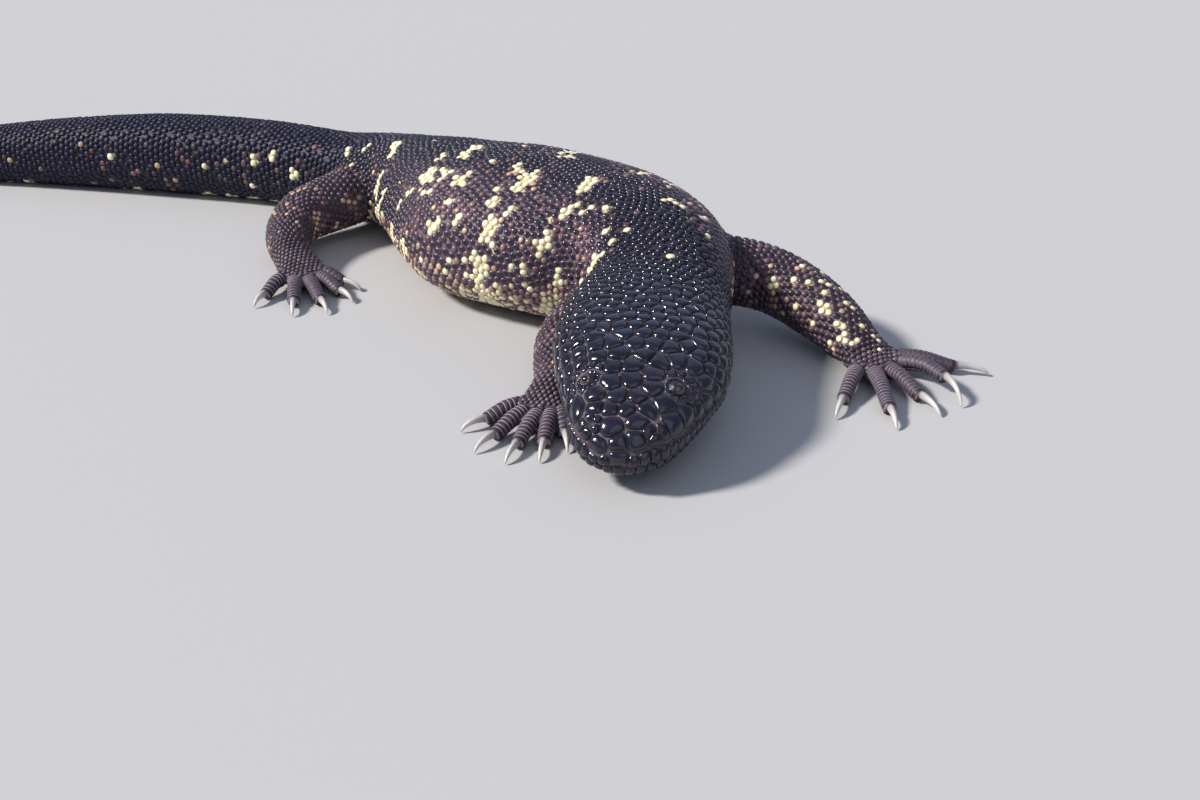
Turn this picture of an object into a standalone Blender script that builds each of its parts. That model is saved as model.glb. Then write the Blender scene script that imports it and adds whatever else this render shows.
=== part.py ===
"""Mexican beaded lizard at rest, life size: a closed solid for each part a person would name.

The body follows one curved centre line from the snout to the tip of the tail. Limbs are tapered
tubes along their bones, and hands and feet are a palm joined with five toes, each with a claw.
Sizes below are in millimetres, placed in the frame of the pose, and become metres when built.
"""
import math

import bmesh
import bpy
import numpy as np
from mathutils import Vector

for thing in list(bpy.data.objects):
    bpy.data.objects.remove(thing, do_unlink=True)

MM = 0.001
FLOOR = 0.0
GAP = 0.3
MIDDLE = (-130.35, 689.65)

# The body at its stations: x, y, height of the middle, half width, rise above it, drop below it.
BODY = {
    "snout tip": (6.0, 498.0, 13.5, 5.5, 4.5, 4.5),
    "nostrils": (7.5, 506.0, 16.5, 17.0, 9.5, 11.0),
    "lips": (12.0, 526.0, 21.0, 25.5, 14.5, 15.5),
    "jaw muscles": (15.5, 549.0, 24.0, 32.0, 18.0, 18.0),
    "back of head": (16.0, 568.0, 25.0, 33.5, 19.0, 19.0),
    "neck": (18.0, 586.0, 26.0, 32.5, 20.5, 20.5),
    "front of shoulders": (22.5, 606.0, 27.0, 29.0, 23.0, 22.5),
    "shoulders": (17.0, 645.0, 28.0, 38.0, 29.5, 27.0),
    "ribs": (-6.0, 671.0, 27.5, 48.0, 32.5, 28.2),
    "belly": (-37.0, 692.0, 27.0, 50.0, 34.0, 28.2),
    "loin": (-64.5, 722.0, 25.0, 36.0, 32.0, 25.6),
    "groin": (-87.0, 754.5, 23.5, 23.0, 26.0, 23.9),
    "hips": (-106.0, 778.5, 21.5, 20.5, 21.5, 21.8),
    "vent": (-130.0, 794.0, 20.0, 18.5, 19.0, 20.2),
    "tail root": (-166.0, 810.0, 20.0, 19.5, 19.5, 20.3),
    "tail swelling": (-212.0, 823.0, 19.5, 20.0, 19.5, 20.0),
    "tail middle": (-264.0, 833.0, 17.5, 17.8, 17.5, 18.0),
    "tail narrowing": (-316.0, 840.0, 14.3, 14.6, 14.2, 14.8),
    "tail rear": (-350.0, 841.0, 11.8, 12.0, 11.6, 12.2),
    "tail end": (-382.0, 836.5, 8.6, 8.8, 8.3, 8.9),
    "tail tip": (-403.0, 829.5, 5.6, 5.4, 5.1, 5.8),
    "tail point": (-412.0, 826.0, 3.2, 2.6, 2.5, 3.2),
    "tail end face": (-414.0, 825.2, 2.6, 1.0, 1.0, 1.4),
}

# Lengths from the snout, along the centre line, where one part ends and the next begins.
HEAD_END = 70.0
NECK_END = 118.0
TRUNK_SPLIT = 212.0
TRUNK_END = 322.0
TAIL_SPLITS = (420.0, 525.0)
SQUARENESS = 0.86
BODY_SIDES = 20

MOUTH_CORNER = 47.0
MOUTH_HEIGHTS = (11.5, 16.0)

EYE_RADIUS = 3.0
EYE_ALONG = 25.5
EYE_ASIDE = 15.6
EYE_HEIGHT = 30.3

# Each limb from inside the body to the toes: x, y, height, half width, half thickness.
LIMBS = {
    "arm_left": (
        (36.0, 640.0, 27.0, 14.0, 15.0),
        (53.0, 646.0, 25.0, 13.8, 14.8),
        (71.0, 643.5, 21.5, 13.2, 14.0),
        (84.5, 632.0, 17.5, 13.2, 13.2),
        (95.0, 618.0, 13.2, 12.2, 11.4),
        (102.5, 606.5, 8.8, 10.8, 7.8),
        (107.0, 599.0, 5.6, 11.8, 5.8),
        (110.6, 593.0, 4.7, 8.0, 4.4),
    ),
    "arm_right": (
        (9.0, 634.0, 19.0, 12.0, 12.5),
        (-6.0, 617.0, 16.0, 11.5, 12.0),
        (-15.8, 601.0, 12.5, 9.4, 10.5),
        (-18.0, 585.0, 9.8, 8.0, 8.9),
        (-17.6, 571.5, 8.0, 8.4, 7.4),
        (-19.5, 561.5, 5.6, 10.4, 5.8),
        (-21.0, 554.7, 4.7, 7.6, 4.4),
    ),
    "leg_left": (
        (-104.0, 780.0, 21.0, 15.0, 13.5),
        (-91.0, 792.0, 18.5, 14.0, 13.0),
        (-74.0, 805.0, 15.0, 12.0, 11.5),
        (-66.0, 821.0, 11.8, 10.5, 10.0),
        (-64.0, 837.0, 8.4, 9.0, 7.9),
        (-58.5, 847.5, 5.7, 10.5, 5.9),
        (-55.3, 853.7, 4.7, 7.6, 4.4),
    ),
    "leg_right": (
        (-110.0, 776.0, 21.0, 16.0, 15.0),
        (-120.0, 759.0, 18.5, 15.0, 14.0),
        (-138.0, 741.0, 15.5, 13.0, 12.5),
        (-143.0, 722.0, 12.0, 11.0, 10.5),
        (-139.0, 705.0, 8.4, 9.2, 7.9),
        (-133.0, 694.5, 5.7, 11.0, 5.9),
        (-129.5, 688.4, 4.7, 7.6, 4.4),
    ),
}
LIMB_NAMES = {
    "arm_left": ("upper_arm_left", "forearm_left", "hand_left"),
    "arm_right": ("upper_arm_right", "forearm_right", "hand_right"),
    "leg_left": ("thigh_left", "shank_left", "foot_left"),
    "leg_right": ("thigh_right", "shank_right", "foot_right"),
}

# Toes from the thumb side out: root x, root y, heading in degrees, length, claw length.
TOE_ROOT_HEIGHT = 5.2
TOE_TIP_HEIGHT = 2.7
TOE_ARCH = 1.4
TOE_RADII = (3.7, 3.2, 2.9)
CLAW_ROOT_RISE = 0.9
CLAW_RADIUS = 1.85
CLAW_TIP_RADIUS = 0.35
TOES = {
    "arm_left": (
        (101.5, 593.0, -110.5, 26.0, 12.5),
        (106.5, 592.0, -86.0, 32.0, 12.0),
        (111.5, 594.0, -65.0, 25.0, 13.5),
        (115.0, 599.0, -34.0, 26.0, 15.5),
        (114.5, 604.0, -13.0, 26.5, 13.5),
    ),
    "arm_right": (
        (-14.5, 557.0, -84.0, 17.0, 10.5),
        (-17.5, 555.0, -97.0, 22.0, 11.0),
        (-21.5, 554.5, -110.0, 24.0, 11.5),
        (-25.5, 556.5, -126.0, 22.0, 11.5),
        (-28.0, 560.5, -148.0, 17.0, 10.5),
    ),
    "leg_left": (
        (-52.5, 845.0, -8.0, 14.0, 9.5),
        (-51.5, 849.0, 14.0, 19.0, 10.0),
        (-52.5, 853.0, 34.0, 23.0, 10.5),
        (-56.5, 855.5, 55.0, 22.0, 10.5),
        (-63.0, 854.0, 84.0, 17.0, 9.5),
    ),
    "leg_right": (
        (-126.0, 694.5, -30.0, 14.0, 9.5),
        (-126.5, 690.5, -48.0, 19.0, 10.0),
        (-130.0, 687.0, -66.0, 23.0, 10.5),
        (-134.5, 686.5, -84.0, 22.0, 10.5),
        (-139.5, 688.5, -112.0, 17.0, 9.5),
    ),
}
# A claw springs forward from the toe and turns down to the floor; one claw is longer and higher.
HIGH_TOE = ("arm_left", 3)
HIGH_TOE_LIFT = 3.6
HIGH_TOE_TURN = -38.0

parts = bpy.data.collections.new("mexican_beaded_lizard")
cutters = bpy.data.collections.new("cutters")
bpy.context.scene.collection.children.link(parts)
bpy.context.scene.collection.children.link(cutters)


def coloured(name, colour, roughness):
    """A plain painted look for one part."""
    material = bpy.data.materials.new(name + "_look")
    material.use_nodes = True
    shader = material.node_tree.nodes["Principled BSDF"]
    shader.inputs["Base Color"].default_value = (*colour, 1.0)
    shader.inputs["Roughness"].default_value = roughness
    shader.inputs["Metallic"].default_value = 0.0
    return material


def placed(point):
    """A point of the pose frame in millimetres, as metres from the middle of the animal."""
    x, y, z = point
    return Vector(((x - MIDDLE[0]) * MM, (y - MIDDLE[1]) * MM, max(z, FLOOR) * MM))


def natural_spline(knots, values, at):
    """Values of the smoothest curve through the knots, level in bend at both its ends."""
    knots = np.asarray(knots, float)
    values = np.asarray(values, float)
    steps = np.diff(knots)
    count = len(knots)
    matrix = np.eye(count)
    right = np.zeros(count)
    slopes = np.diff(values) / steps
    for i in range(1, count - 1):
        matrix[i, i - 1] = steps[i - 1]
        matrix[i, i] = 2.0 * (steps[i - 1] + steps[i])
        matrix[i, i + 1] = steps[i]
        right[i] = 6.0 * (slopes[i] - slopes[i - 1])
    bends = np.linalg.solve(matrix, right)
    at = np.asarray(at, float)
    cell = np.clip(np.searchsorted(knots, at) - 1, 0, count - 2)
    h = steps[cell]
    a = (knots[cell + 1] - at) / h
    b = (at - knots[cell]) / h
    bent = ((a**3 - a) * bends[cell] + (b**3 - b) * bends[cell + 1]) * h * h / 6.0
    return a * values[cell] + b * values[cell + 1] + bent


def even_curve(knots, values, at):
    """Values that never overshoot their knots, for widths and heights."""
    knots = np.asarray(knots, float)
    values = np.asarray(values, float)
    steps = np.diff(knots)
    slopes = np.diff(values) / steps
    tangents = np.zeros(len(knots))
    tangents[0] = slopes[0]
    tangents[-1] = slopes[-1]
    for i in range(1, len(knots) - 1):
        before, after = slopes[i - 1], slopes[i]
        if before * after > 0.0:
            w1 = 2.0 * steps[i] + steps[i - 1]
            w2 = steps[i] + 2.0 * steps[i - 1]
            tangents[i] = (w1 + w2) / (w1 / before + w2 / after)
    at = np.asarray(at, float)
    cell = np.clip(np.searchsorted(knots, at) - 1, 0, len(steps) - 1)
    h = steps[cell]
    t = (at - knots[cell]) / h
    return (
        values[cell] * (2 * t**3 - 3 * t**2 + 1)
        + tangents[cell] * h * (t**3 - 2 * t**2 + t)
        + values[cell + 1] * (3 * t**2 - 2 * t**3)
        + tangents[cell + 1] * h * (t**3 - t**2)
    )


stations = np.array(list(BODY.values()))
chords = np.hypot(np.diff(stations[:, 0]), np.diff(stations[:, 1]))
knots = np.concatenate([[0.0], np.cumsum(chords)])
fine = np.linspace(0.0, knots[-1], 2001)
line_x = natural_spline(knots, stations[:, 0], fine)
line_y = natural_spline(knots, stations[:, 1], fine)
along = np.concatenate([[0.0], np.cumsum(np.hypot(np.diff(line_x), np.diff(line_y)))])
BODY_LENGTH = along[-1]
knot_lengths = np.interp(knots, fine, along)


def body_frame(length):
    """Middle point, heading, and section sizes at a length from the snout."""
    middle = [np.interp(length, along, line_x), np.interp(length, along, line_y)]
    ahead = min(length + 0.5, BODY_LENGTH)
    behind = max(length - 0.5, 0.0)
    dx = np.interp(ahead, along, line_x) - np.interp(behind, along, line_x)
    dy = np.interp(ahead, along, line_y) - np.interp(behind, along, line_y)
    reach = math.hypot(dx, dy)
    sizes = [float(even_curve(knot_lengths, stations[:, k], length)) for k in range(2, 6)]
    return middle, (dx / reach, dy / reach), sizes


def body_section(length, shift=0.0, grow=0.0):
    """The outline of the body at a length from the snout, as points round a rounded square."""
    middle, heading, (height, half, above, below) = body_frame(length)
    outline = []
    for k in range(BODY_SIDES):
        angle = 2.0 * math.pi * k / BODY_SIDES
        side = math.copysign(abs(math.cos(angle)) ** SQUARENESS, math.cos(angle)) * (half + grow)
        rise = math.copysign(abs(math.sin(angle)) ** SQUARENESS, math.sin(angle))
        rise *= (above if rise > 0.0 else below) + grow
        outline.append(
            placed(
                (
                    middle[0] + heading[1] * side + heading[0] * shift,
                    middle[1] - heading[0] * side + heading[1] * shift,
                    height + rise,
                )
            )
        )
    return outline


def loft(name, sections, collection=parts):
    """One closed solid through a run of outlines that have the same number of points."""
    count = len(sections[0])
    verts = [point for section in sections for point in section]
    faces = []
    for j in range(len(sections) - 1):
        for k in range(count):
            n = (k + 1) % count
            faces.append((j * count + k, j * count + n, (j + 1) * count + n, (j + 1) * count + k))
    faces.append(tuple(range(count - 1, -1, -1)))
    last = (len(sections) - 1) * count
    faces.append(tuple(last + k for k in range(count)))
    mesh = bpy.data.meshes.new(name)
    mesh.from_pydata(verts, [], faces)
    shape = bmesh.new()
    shape.from_mesh(mesh)
    bmesh.ops.recalc_face_normals(shape, faces=shape.faces)
    shape.to_mesh(mesh)
    shape.free()
    mesh.shade_smooth()
    mesh.set_sharp_from_angle(angle=math.radians(50.0))
    thing = bpy.data.objects.new(name, mesh)
    collection.objects.link(thing)
    if collection is cutters:
        thing.hide_render = True
        thing.display_type = "WIRE"
    return thing


def body_part(name, lengths):
    """The stretch of body through these lengths, with half the gap left off at each inner end."""
    sections = []
    for length in lengths:
        shift = 0.0
        if length == lengths[0]:
            shift = GAP / 2.0
        if length == lengths[-1] and length < BODY_LENGTH:
            shift = -GAP / 2.0
        sections.append(body_section(length, shift))
    return loft(name, sections)


def boolean(target, tool, operation):
    """One EXACT Boolean, kept live on the target."""
    modifier = target.modifiers.new(operation.title() + " " + tool.name, "BOOLEAN")
    modifier.operation = operation
    modifier.solver = "EXACT"
    modifier.object = tool
    return modifier


def head_point(length, aside, height):
    """A point of the head: a length from the snout, a distance to the animal's left, a height."""
    middle, heading, _ = body_frame(length)
    return (middle[0] + heading[1] * aside, middle[1] - heading[0] * aside, height)


# Head and lower jaw: one outline, parted along the line of the mouth.
HEAD_LENGTHS = (0.0, 2.5, 6.0, 12.0, 20.0, 29.0, 38.0, 47.0, 56.0, 64.0, HEAD_END)
head_sections = [body_section(s, -GAP / 2.0 if s == HEAD_END else 0.0) for s in HEAD_LENGTHS]
head = loft("head", head_sections)
lower_jaw = loft("lower_jaw", head_sections)


def jaw_box(name, grow):
    """The space of the lower jaw: below the line of the mouth, in front of its corner."""
    sections = []
    for length, height in ((-6.0, MOUTH_HEIGHTS[0]), (MOUTH_CORNER + grow, MOUTH_HEIGHTS[1])):
        middle, heading, _ = body_frame(max(length, 0.0))
        back = min(length, 0.0)
        corners = []
        for side, rise in ((-45.0, -5.0), (45.0, -5.0), (45.0, height + grow), (-45.0, height + grow)):
            x = middle[0] + heading[1] * side + heading[0] * back
            y = middle[1] - heading[0] * side + heading[1] * back
            corners.append(Vector(((x - MIDDLE[0]) * MM, (y - MIDDLE[1]) * MM, rise * MM)))
        sections.append(corners[::-1])
    box = loft(name, sections, cutters)
    return box


boolean(head, jaw_box("jaw space", GAP), "DIFFERENCE")
boolean(lower_jaw, jaw_box("jaw keep", 0.0), "INTERSECT")

# Eyes: small balls, each in a hollow of the head that leaves the gap all round.
eyes = []
for name, side in (("eye_left", 1.0), ("eye_right", -1.0)):
    middle = placed(head_point(EYE_ALONG, EYE_ASIDE * side, EYE_HEIGHT))
    for radius, label in ((EYE_RADIUS, name), (EYE_RADIUS + GAP, name + " hollow")):
        bpy.ops.mesh.primitive_uv_sphere_add(
            segments=16, ring_count=10, radius=radius * MM, location=middle
        )
        ball = bpy.context.object
        ball.name = label
        ball.data.name = label
        ball.data.shade_smooth()
        for holder in list(ball.users_collection):
            holder.objects.unlink(ball)
        if label == name:
            parts.objects.link(ball)
            eyes.append(ball)
        else:
            cutters.objects.link(ball)
            ball.hide_render = True
            ball.display_type = "WIRE"
            boolean(head, ball, "DIFFERENCE")

# The rest of the body: where each part begins and ends, and its number of outlines.
BODY_PARTS = {
    "neck": (HEAD_END, NECK_END, 6),
    "trunk_front": (NECK_END, TRUNK_SPLIT, 9),
    "trunk_rear": (TRUNK_SPLIT, TRUNK_END, 11),
    "tail_base": (TRUNK_END, TAIL_SPLITS[0], 9),
    "tail_middle": (TAIL_SPLITS[0], TAIL_SPLITS[1], 8),
    "tail_tip": (TAIL_SPLITS[1], BODY_LENGTH, 9),
}
space_lengths = list(HEAD_LENGTHS)
for name, (start, end, outlines) in BODY_PARTS.items():
    lengths = np.linspace(start, end, outlines)
    body_part(name, lengths)
    space_lengths.extend(lengths[1:])

# The whole body once more, one gap larger, to trim what lies against it.
body_space = loft("body space", [body_section(s, 0.0, GAP) for s in space_lengths], cutters)

LIMB_SIDES = 14
TOE_SIDES = 8
CLAW_SIDES = 8
# A limb has this many rows for each span, parted at its elbow and at its wrist.
ROWS_PER_SPAN = 3
ELBOW_ROW = 7
WRIST_ROWS = 8
# This limb's forearm and palm lie against the neck.
TUCKED_LIMB = "arm_right"


def tube_sections(points, radii, sides, first_way=None, last_way=None):
    """Outlines square to a run of points, with a half width and half thickness at each.

    An end may face a way of its own, so that two tubes meet with flat faces.
    """
    points = [Vector(p) for p in points]
    sections = []
    for i, point in enumerate(points):
        ahead = points[min(i + 1, len(points) - 1)] - point
        behind = point - points[max(i - 1, 0)]
        heading = (ahead.normalized() + behind.normalized()).normalized()
        if i == 0 and first_way is not None:
            heading = first_way
        if i == len(points) - 1 and last_way is not None:
            heading = last_way
        side = heading.cross(Vector((0.0, 0.0, 1.0))).normalized()
        up = side.cross(heading)
        outline = []
        for k in range(sides):
            angle = 2.0 * math.pi * k / sides
            aside = side * (math.cos(angle) * radii[i][0])
            outline.append(placed(point + aside + up * (math.sin(angle) * radii[i][1])))
        sections.append(outline)
    return sections


def smooth_rows(rows, per_span):
    """The rows of a limb, with more of them between, on a smooth curve."""
    rows = np.array(rows)
    steps = np.linalg.norm(np.diff(rows[:, :3], axis=0), axis=1)
    marks = np.concatenate([[0.0], np.cumsum(steps)])
    at = []
    for i in range(len(marks) - 1):
        at.extend(np.linspace(marks[i], marks[i + 1], per_span, endpoint=False))
    at.append(marks[-1])
    columns = [natural_spline(marks, rows[:, k], at) for k in range(3)]
    columns += [even_curve(marks, rows[:, k], at) for k in range(3, 5)]
    return np.stack(columns, axis=1)


def toe_points(limb, number, root_x, root_y, heading, length):
    """Root, knuckles and tip of one toe, gently arched."""
    lift = HIGH_TOE_LIFT if (limb, number) == HIGH_TOE else 0.0
    turn = HIGH_TOE_TURN if (limb, number) == HIGH_TOE else 0.0
    points = []
    x, y = root_x, root_y
    for step in range(5):
        t = step / 4.0
        height = TOE_ROOT_HEIGHT * (1.0 - t) + TOE_TIP_HEIGHT * t + lift * t
        height += TOE_ARCH * math.sin(math.pi * t) ** 2
        points.append((x, y, height))
        way = math.radians(heading + turn * t * t)
        x += math.cos(way) * length / 4.0
        y += math.sin(way) * length / 4.0
    return points


def claw_sections(tip, ground, length):
    """A claw that leaves the toe rising a little, then bends down until its point nears the floor."""
    base = tip[2] + CLAW_ROOT_RISE
    drop = base - 0.6
    reach = math.sqrt(max(length**2 - drop**2, 9.0))
    points = []
    radii = []
    for step in range(6):
        t = step / 5.0
        ahead = reach * math.sin(t * 1.2) / math.sin(1.2)
        sink = drop * t**2.2 - 1.6 * t * (1.0 - t)
        points.append(Vector((tip[0], tip[1], base - sink)) + ground * (ahead + GAP))
        radius = CLAW_RADIUS * (1.0 - t) ** 0.8 + CLAW_TIP_RADIUS * t
        radii.append((radius * 0.8, radius))
    return tube_sections(points, radii, CLAW_SIDES, first_way=ground)


def limb_span(run, begin, finish):
    """The outlines of one length of limb, each inner end drawn back by half the gap."""
    sections = tube_sections(run[:, :3], run[:, 3:5], LIMB_SIDES)
    for cut, inward in ((begin, 1.0), (finish, -1.0)):
        if 0 < cut < len(run) - 1:
            way = Vector(run[cut + 1, :3] - run[cut - 1, :3]).normalized() * (inward * GAP / 2.0 * MM)
            sections[cut] = [point + way for point in sections[cut]]
            for point in sections[cut]:
                point.z = max(point.z, FLOOR)
    return sections[begin : finish + 1]


for limb, rows in LIMBS.items():
    upper_name, lower_name, end_name = LIMB_NAMES[limb]
    run = smooth_rows(rows, ROWS_PER_SPAN)
    wrist = len(run) - WRIST_ROWS
    upper = loft(upper_name, limb_span(run, 0, ELBOW_ROW))
    boolean(upper, body_space, "DIFFERENCE")
    lower = loft(lower_name, limb_span(run, ELBOW_ROW, wrist))
    palm = loft(end_name, limb_span(run, wrist, len(run) - 1))
    if limb == TUCKED_LIMB:
        boolean(lower, body_space, "DIFFERENCE")
        boolean(palm, body_space, "DIFFERENCE")
    for number, (root_x, root_y, heading, length, claw_length) in enumerate(TOES[limb]):
        points = toe_points(limb, number, root_x, root_y, heading, length)
        radii = []
        for step in range(5):
            radius = float(even_curve((0.0, 0.5, 1.0), TOE_RADII, step / 4.0))
            radii.append((radius, radius))
        ground = Vector(points[-1]) - Vector(points[-2])
        ground = Vector((ground.x, ground.y, 0.0)).normalized()
        outlines = tube_sections(points, radii, TOE_SIDES, last_way=ground)
        toe = loft(f"{end_name} toe {number + 1}", outlines, cutters)
        boolean(palm, toe, "UNION")
        loft(f"claw_{end_name}_{number + 1}", claw_sections(points[-1], ground, claw_length))

LOOKS = {
    "head": ((0.030, 0.022, 0.030), 0.30),
    "lower_jaw": ((0.035, 0.026, 0.032), 0.35),
    "eye": ((0.010, 0.008, 0.008), 0.08),
    "neck": ((0.034, 0.025, 0.033), 0.40),
    "trunk": ((0.060, 0.038, 0.040), 0.45),
    "tail": ((0.035, 0.030, 0.042), 0.45),
    "claw": ((0.520, 0.470, 0.400), 0.40),
    "hand": ((0.120, 0.085, 0.090), 0.55),
    "foot": ((0.100, 0.075, 0.080), 0.55),
}
for thing in parts.objects:
    kind = next((key for key in LOOKS if thing.name.startswith(key)), "trunk")
    colour, roughness = LOOKS[kind]
    thing.data.materials.clear()
    thing.data.materials.append(coloured(thing.name, colour, roughness))
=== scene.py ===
"""Mexican beaded lizard at rest, life size: skin, beads, head plates, toe rings, claws and eyes."""
import math

import bmesh
import bpy
import numpy as np
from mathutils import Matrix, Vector, kdtree
from mathutils.bvhtree import BVHTree


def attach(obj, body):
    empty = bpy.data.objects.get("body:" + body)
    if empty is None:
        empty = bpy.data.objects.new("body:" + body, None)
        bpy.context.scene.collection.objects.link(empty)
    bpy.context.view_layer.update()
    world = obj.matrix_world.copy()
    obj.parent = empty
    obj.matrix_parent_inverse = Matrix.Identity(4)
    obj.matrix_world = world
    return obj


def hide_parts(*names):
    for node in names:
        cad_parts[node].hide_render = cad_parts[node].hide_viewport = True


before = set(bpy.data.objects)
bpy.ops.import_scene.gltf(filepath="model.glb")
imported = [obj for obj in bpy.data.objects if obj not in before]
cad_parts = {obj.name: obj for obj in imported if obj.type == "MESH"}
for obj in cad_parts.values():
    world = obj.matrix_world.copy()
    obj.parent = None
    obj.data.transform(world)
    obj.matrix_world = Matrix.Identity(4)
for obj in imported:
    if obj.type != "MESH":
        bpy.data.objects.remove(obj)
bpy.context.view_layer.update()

# Skin. The real animal is one hide over head, trunk, limbs and tail, thin and dark between its
# beads. Here a fine loft of each part is fused into one closed surface, sunk below the solids by
# the depth of the beads, and then the folds of face and throat are pressed into it.
MM = 0.001
# Places are in millimetres of the pose as it was laid out, and this one is the model's origin.
MIDDLE = np.array([-130.35, 689.65, 0.0])
# How far the hide lies under the beads of the body, the beads of the limbs and the rings of the toes.
BEAD_DEPTH, LIMB_DEPTH, TOE_DEPTH = 1.0, 0.9, 0.55
# The body's outline across: 1 would be an ellipse, and less is squarer.
SQUARENESS = 0.86

# Body at its stations: x, y, height of the middle, half width, rise above it, drop below it, in mm.
BODY = np.array((
    (6.0, 498.0, 13.5, 5.5, 4.5, 4.5), (7.5, 506.0, 16.5, 17.0, 9.5, 11.0),
    (12.0, 526.0, 21.0, 25.5, 14.5, 15.5), (15.5, 549.0, 24.0, 32.0, 18.0, 18.0),
    (16.0, 568.0, 25.0, 33.5, 19.0, 19.0), (18.0, 586.0, 26.0, 32.5, 20.5, 20.5),
    (22.5, 606.0, 27.0, 29.0, 23.0, 22.5), (17.0, 645.0, 28.0, 38.0, 29.5, 27.0),
    (-6.0, 671.0, 27.5, 48.0, 32.5, 28.2), (-37.0, 692.0, 27.0, 50.0, 34.0, 28.2),
    (-64.5, 722.0, 25.0, 36.0, 32.0, 25.6), (-87.0, 754.5, 23.5, 23.0, 26.0, 23.9),
    (-106.0, 778.5, 21.5, 20.5, 21.5, 21.8), (-130.0, 794.0, 20.0, 18.5, 19.0, 20.2),
    (-166.0, 810.0, 20.0, 19.5, 19.5, 20.3), (-212.0, 823.0, 19.5, 20.0, 19.5, 20.0),
    (-264.0, 833.0, 17.5, 17.8, 17.5, 18.0), (-316.0, 840.0, 14.3, 14.6, 14.2, 14.8),
    (-350.0, 841.0, 11.8, 12.0, 11.6, 12.2), (-382.0, 836.5, 8.6, 8.8, 8.3, 8.9),
    (-403.0, 829.5, 5.6, 5.4, 5.1, 5.8), (-412.0, 826.0, 3.2, 2.6, 2.5, 3.2),
    (-414.0, 825.2, 2.6, 1.0, 1.0, 1.4),
))
# Each limb from inside the body to the toes: x, y, height, half width, half thickness.
LIMBS = {
    "arm_left": (
        (36.0, 640.0, 27.0, 14.0, 15.0), (53.0, 646.0, 25.0, 13.8, 14.8),
        (71.0, 643.5, 21.5, 13.2, 14.0), (84.5, 632.0, 17.5, 13.2, 13.2),
        (95.0, 618.0, 13.2, 12.2, 11.4), (102.5, 606.5, 8.8, 10.8, 7.8),
        (107.0, 599.0, 5.6, 11.8, 5.8), (110.6, 593.0, 4.7, 8.0, 4.4),
    ),
    "arm_right": (
        (9.0, 634.0, 19.0, 12.0, 12.5), (-6.0, 617.0, 16.0, 11.5, 12.0),
        (-15.8, 601.0, 12.5, 9.4, 10.5), (-18.0, 585.0, 9.8, 8.0, 8.9),
        (-17.6, 571.5, 8.0, 8.4, 7.4), (-19.5, 561.5, 5.6, 10.4, 5.8),
        (-21.0, 554.7, 4.7, 7.6, 4.4),
    ),
    "leg_left": (
        (-104.0, 780.0, 21.0, 15.0, 13.5), (-91.0, 792.0, 18.5, 14.0, 13.0),
        (-74.0, 805.0, 15.0, 12.0, 11.5), (-66.0, 821.0, 11.8, 10.5, 10.0),
        (-64.0, 837.0, 8.4, 9.0, 7.9), (-58.5, 847.5, 5.7, 10.5, 5.9),
        (-55.3, 853.7, 4.7, 7.6, 4.4),
    ),
    "leg_right": (
        (-110.0, 776.0, 21.0, 16.0, 15.0), (-120.0, 759.0, 18.5, 15.0, 14.0),
        (-138.0, 741.0, 15.5, 13.0, 12.5), (-143.0, 722.0, 12.0, 11.0, 10.5),
        (-139.0, 705.0, 8.4, 9.2, 7.9), (-133.0, 694.5, 5.7, 11.0, 5.9),
        (-129.5, 688.4, 4.7, 7.6, 4.4),
    ),
}
# Toes from the thumb side out: root x, root y, heading in degrees, length, claw length.
TOES = {
    "arm_left": (
        (101.5, 593.0, -110.5, 26.0, 12.5), (106.5, 592.0, -86.0, 32.0, 12.0),
        (111.5, 594.0, -65.0, 25.0, 13.5), (115.0, 599.0, -34.0, 26.0, 15.5),
        (114.5, 604.0, -13.0, 26.5, 13.5),
    ),
    "arm_right": (
        (-14.5, 557.0, -84.0, 17.0, 10.5), (-17.5, 555.0, -97.0, 22.0, 11.0),
        (-21.5, 554.5, -110.0, 24.0, 11.5), (-25.5, 556.5, -126.0, 22.0, 11.5),
        (-28.0, 560.5, -148.0, 17.0, 10.5),
    ),
    "leg_left": (
        (-52.5, 845.0, -8.0, 14.0, 9.5), (-51.5, 849.0, 14.0, 19.0, 10.0),
        (-52.5, 853.0, 34.0, 23.0, 10.5), (-56.5, 855.5, 55.0, 22.0, 10.5),
        (-63.0, 854.0, 84.0, 17.0, 9.5),
    ),
    "leg_right": (
        (-126.0, 694.5, -30.0, 14.0, 9.5), (-126.5, 690.5, -48.0, 19.0, 10.0),
        (-130.0, 687.0, -66.0, 23.0, 10.5), (-134.5, 686.5, -84.0, 22.0, 10.5),
        (-139.5, 688.5, -112.0, 17.0, 9.5),
    ),
}
# One toe of the reaching hand is raised and curls as it goes.
HIGH_TOE = ("arm_left", 3)
HIGH_TOE_TURN = -38.0
HIGH_TOE_RISE = 3.6
# Every toe: steps along it, height of its root and tip, arch between them, and radii along it.
TOE_STEPS = 24
TOE_ROOT, TOE_TIP, TOE_ARCH = 5.2, 2.7, 1.4
TOE_RADII = (3.7, 3.2, 2.9)


def running_total(steps):
    return np.concatenate([[0.0], np.cumsum(steps)])


def unit(vectors):
    """Vectors brought to a length of 1."""
    return vectors / np.maximum(np.linalg.norm(vectors, axis=-1, keepdims=True), 1e-6)


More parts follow.
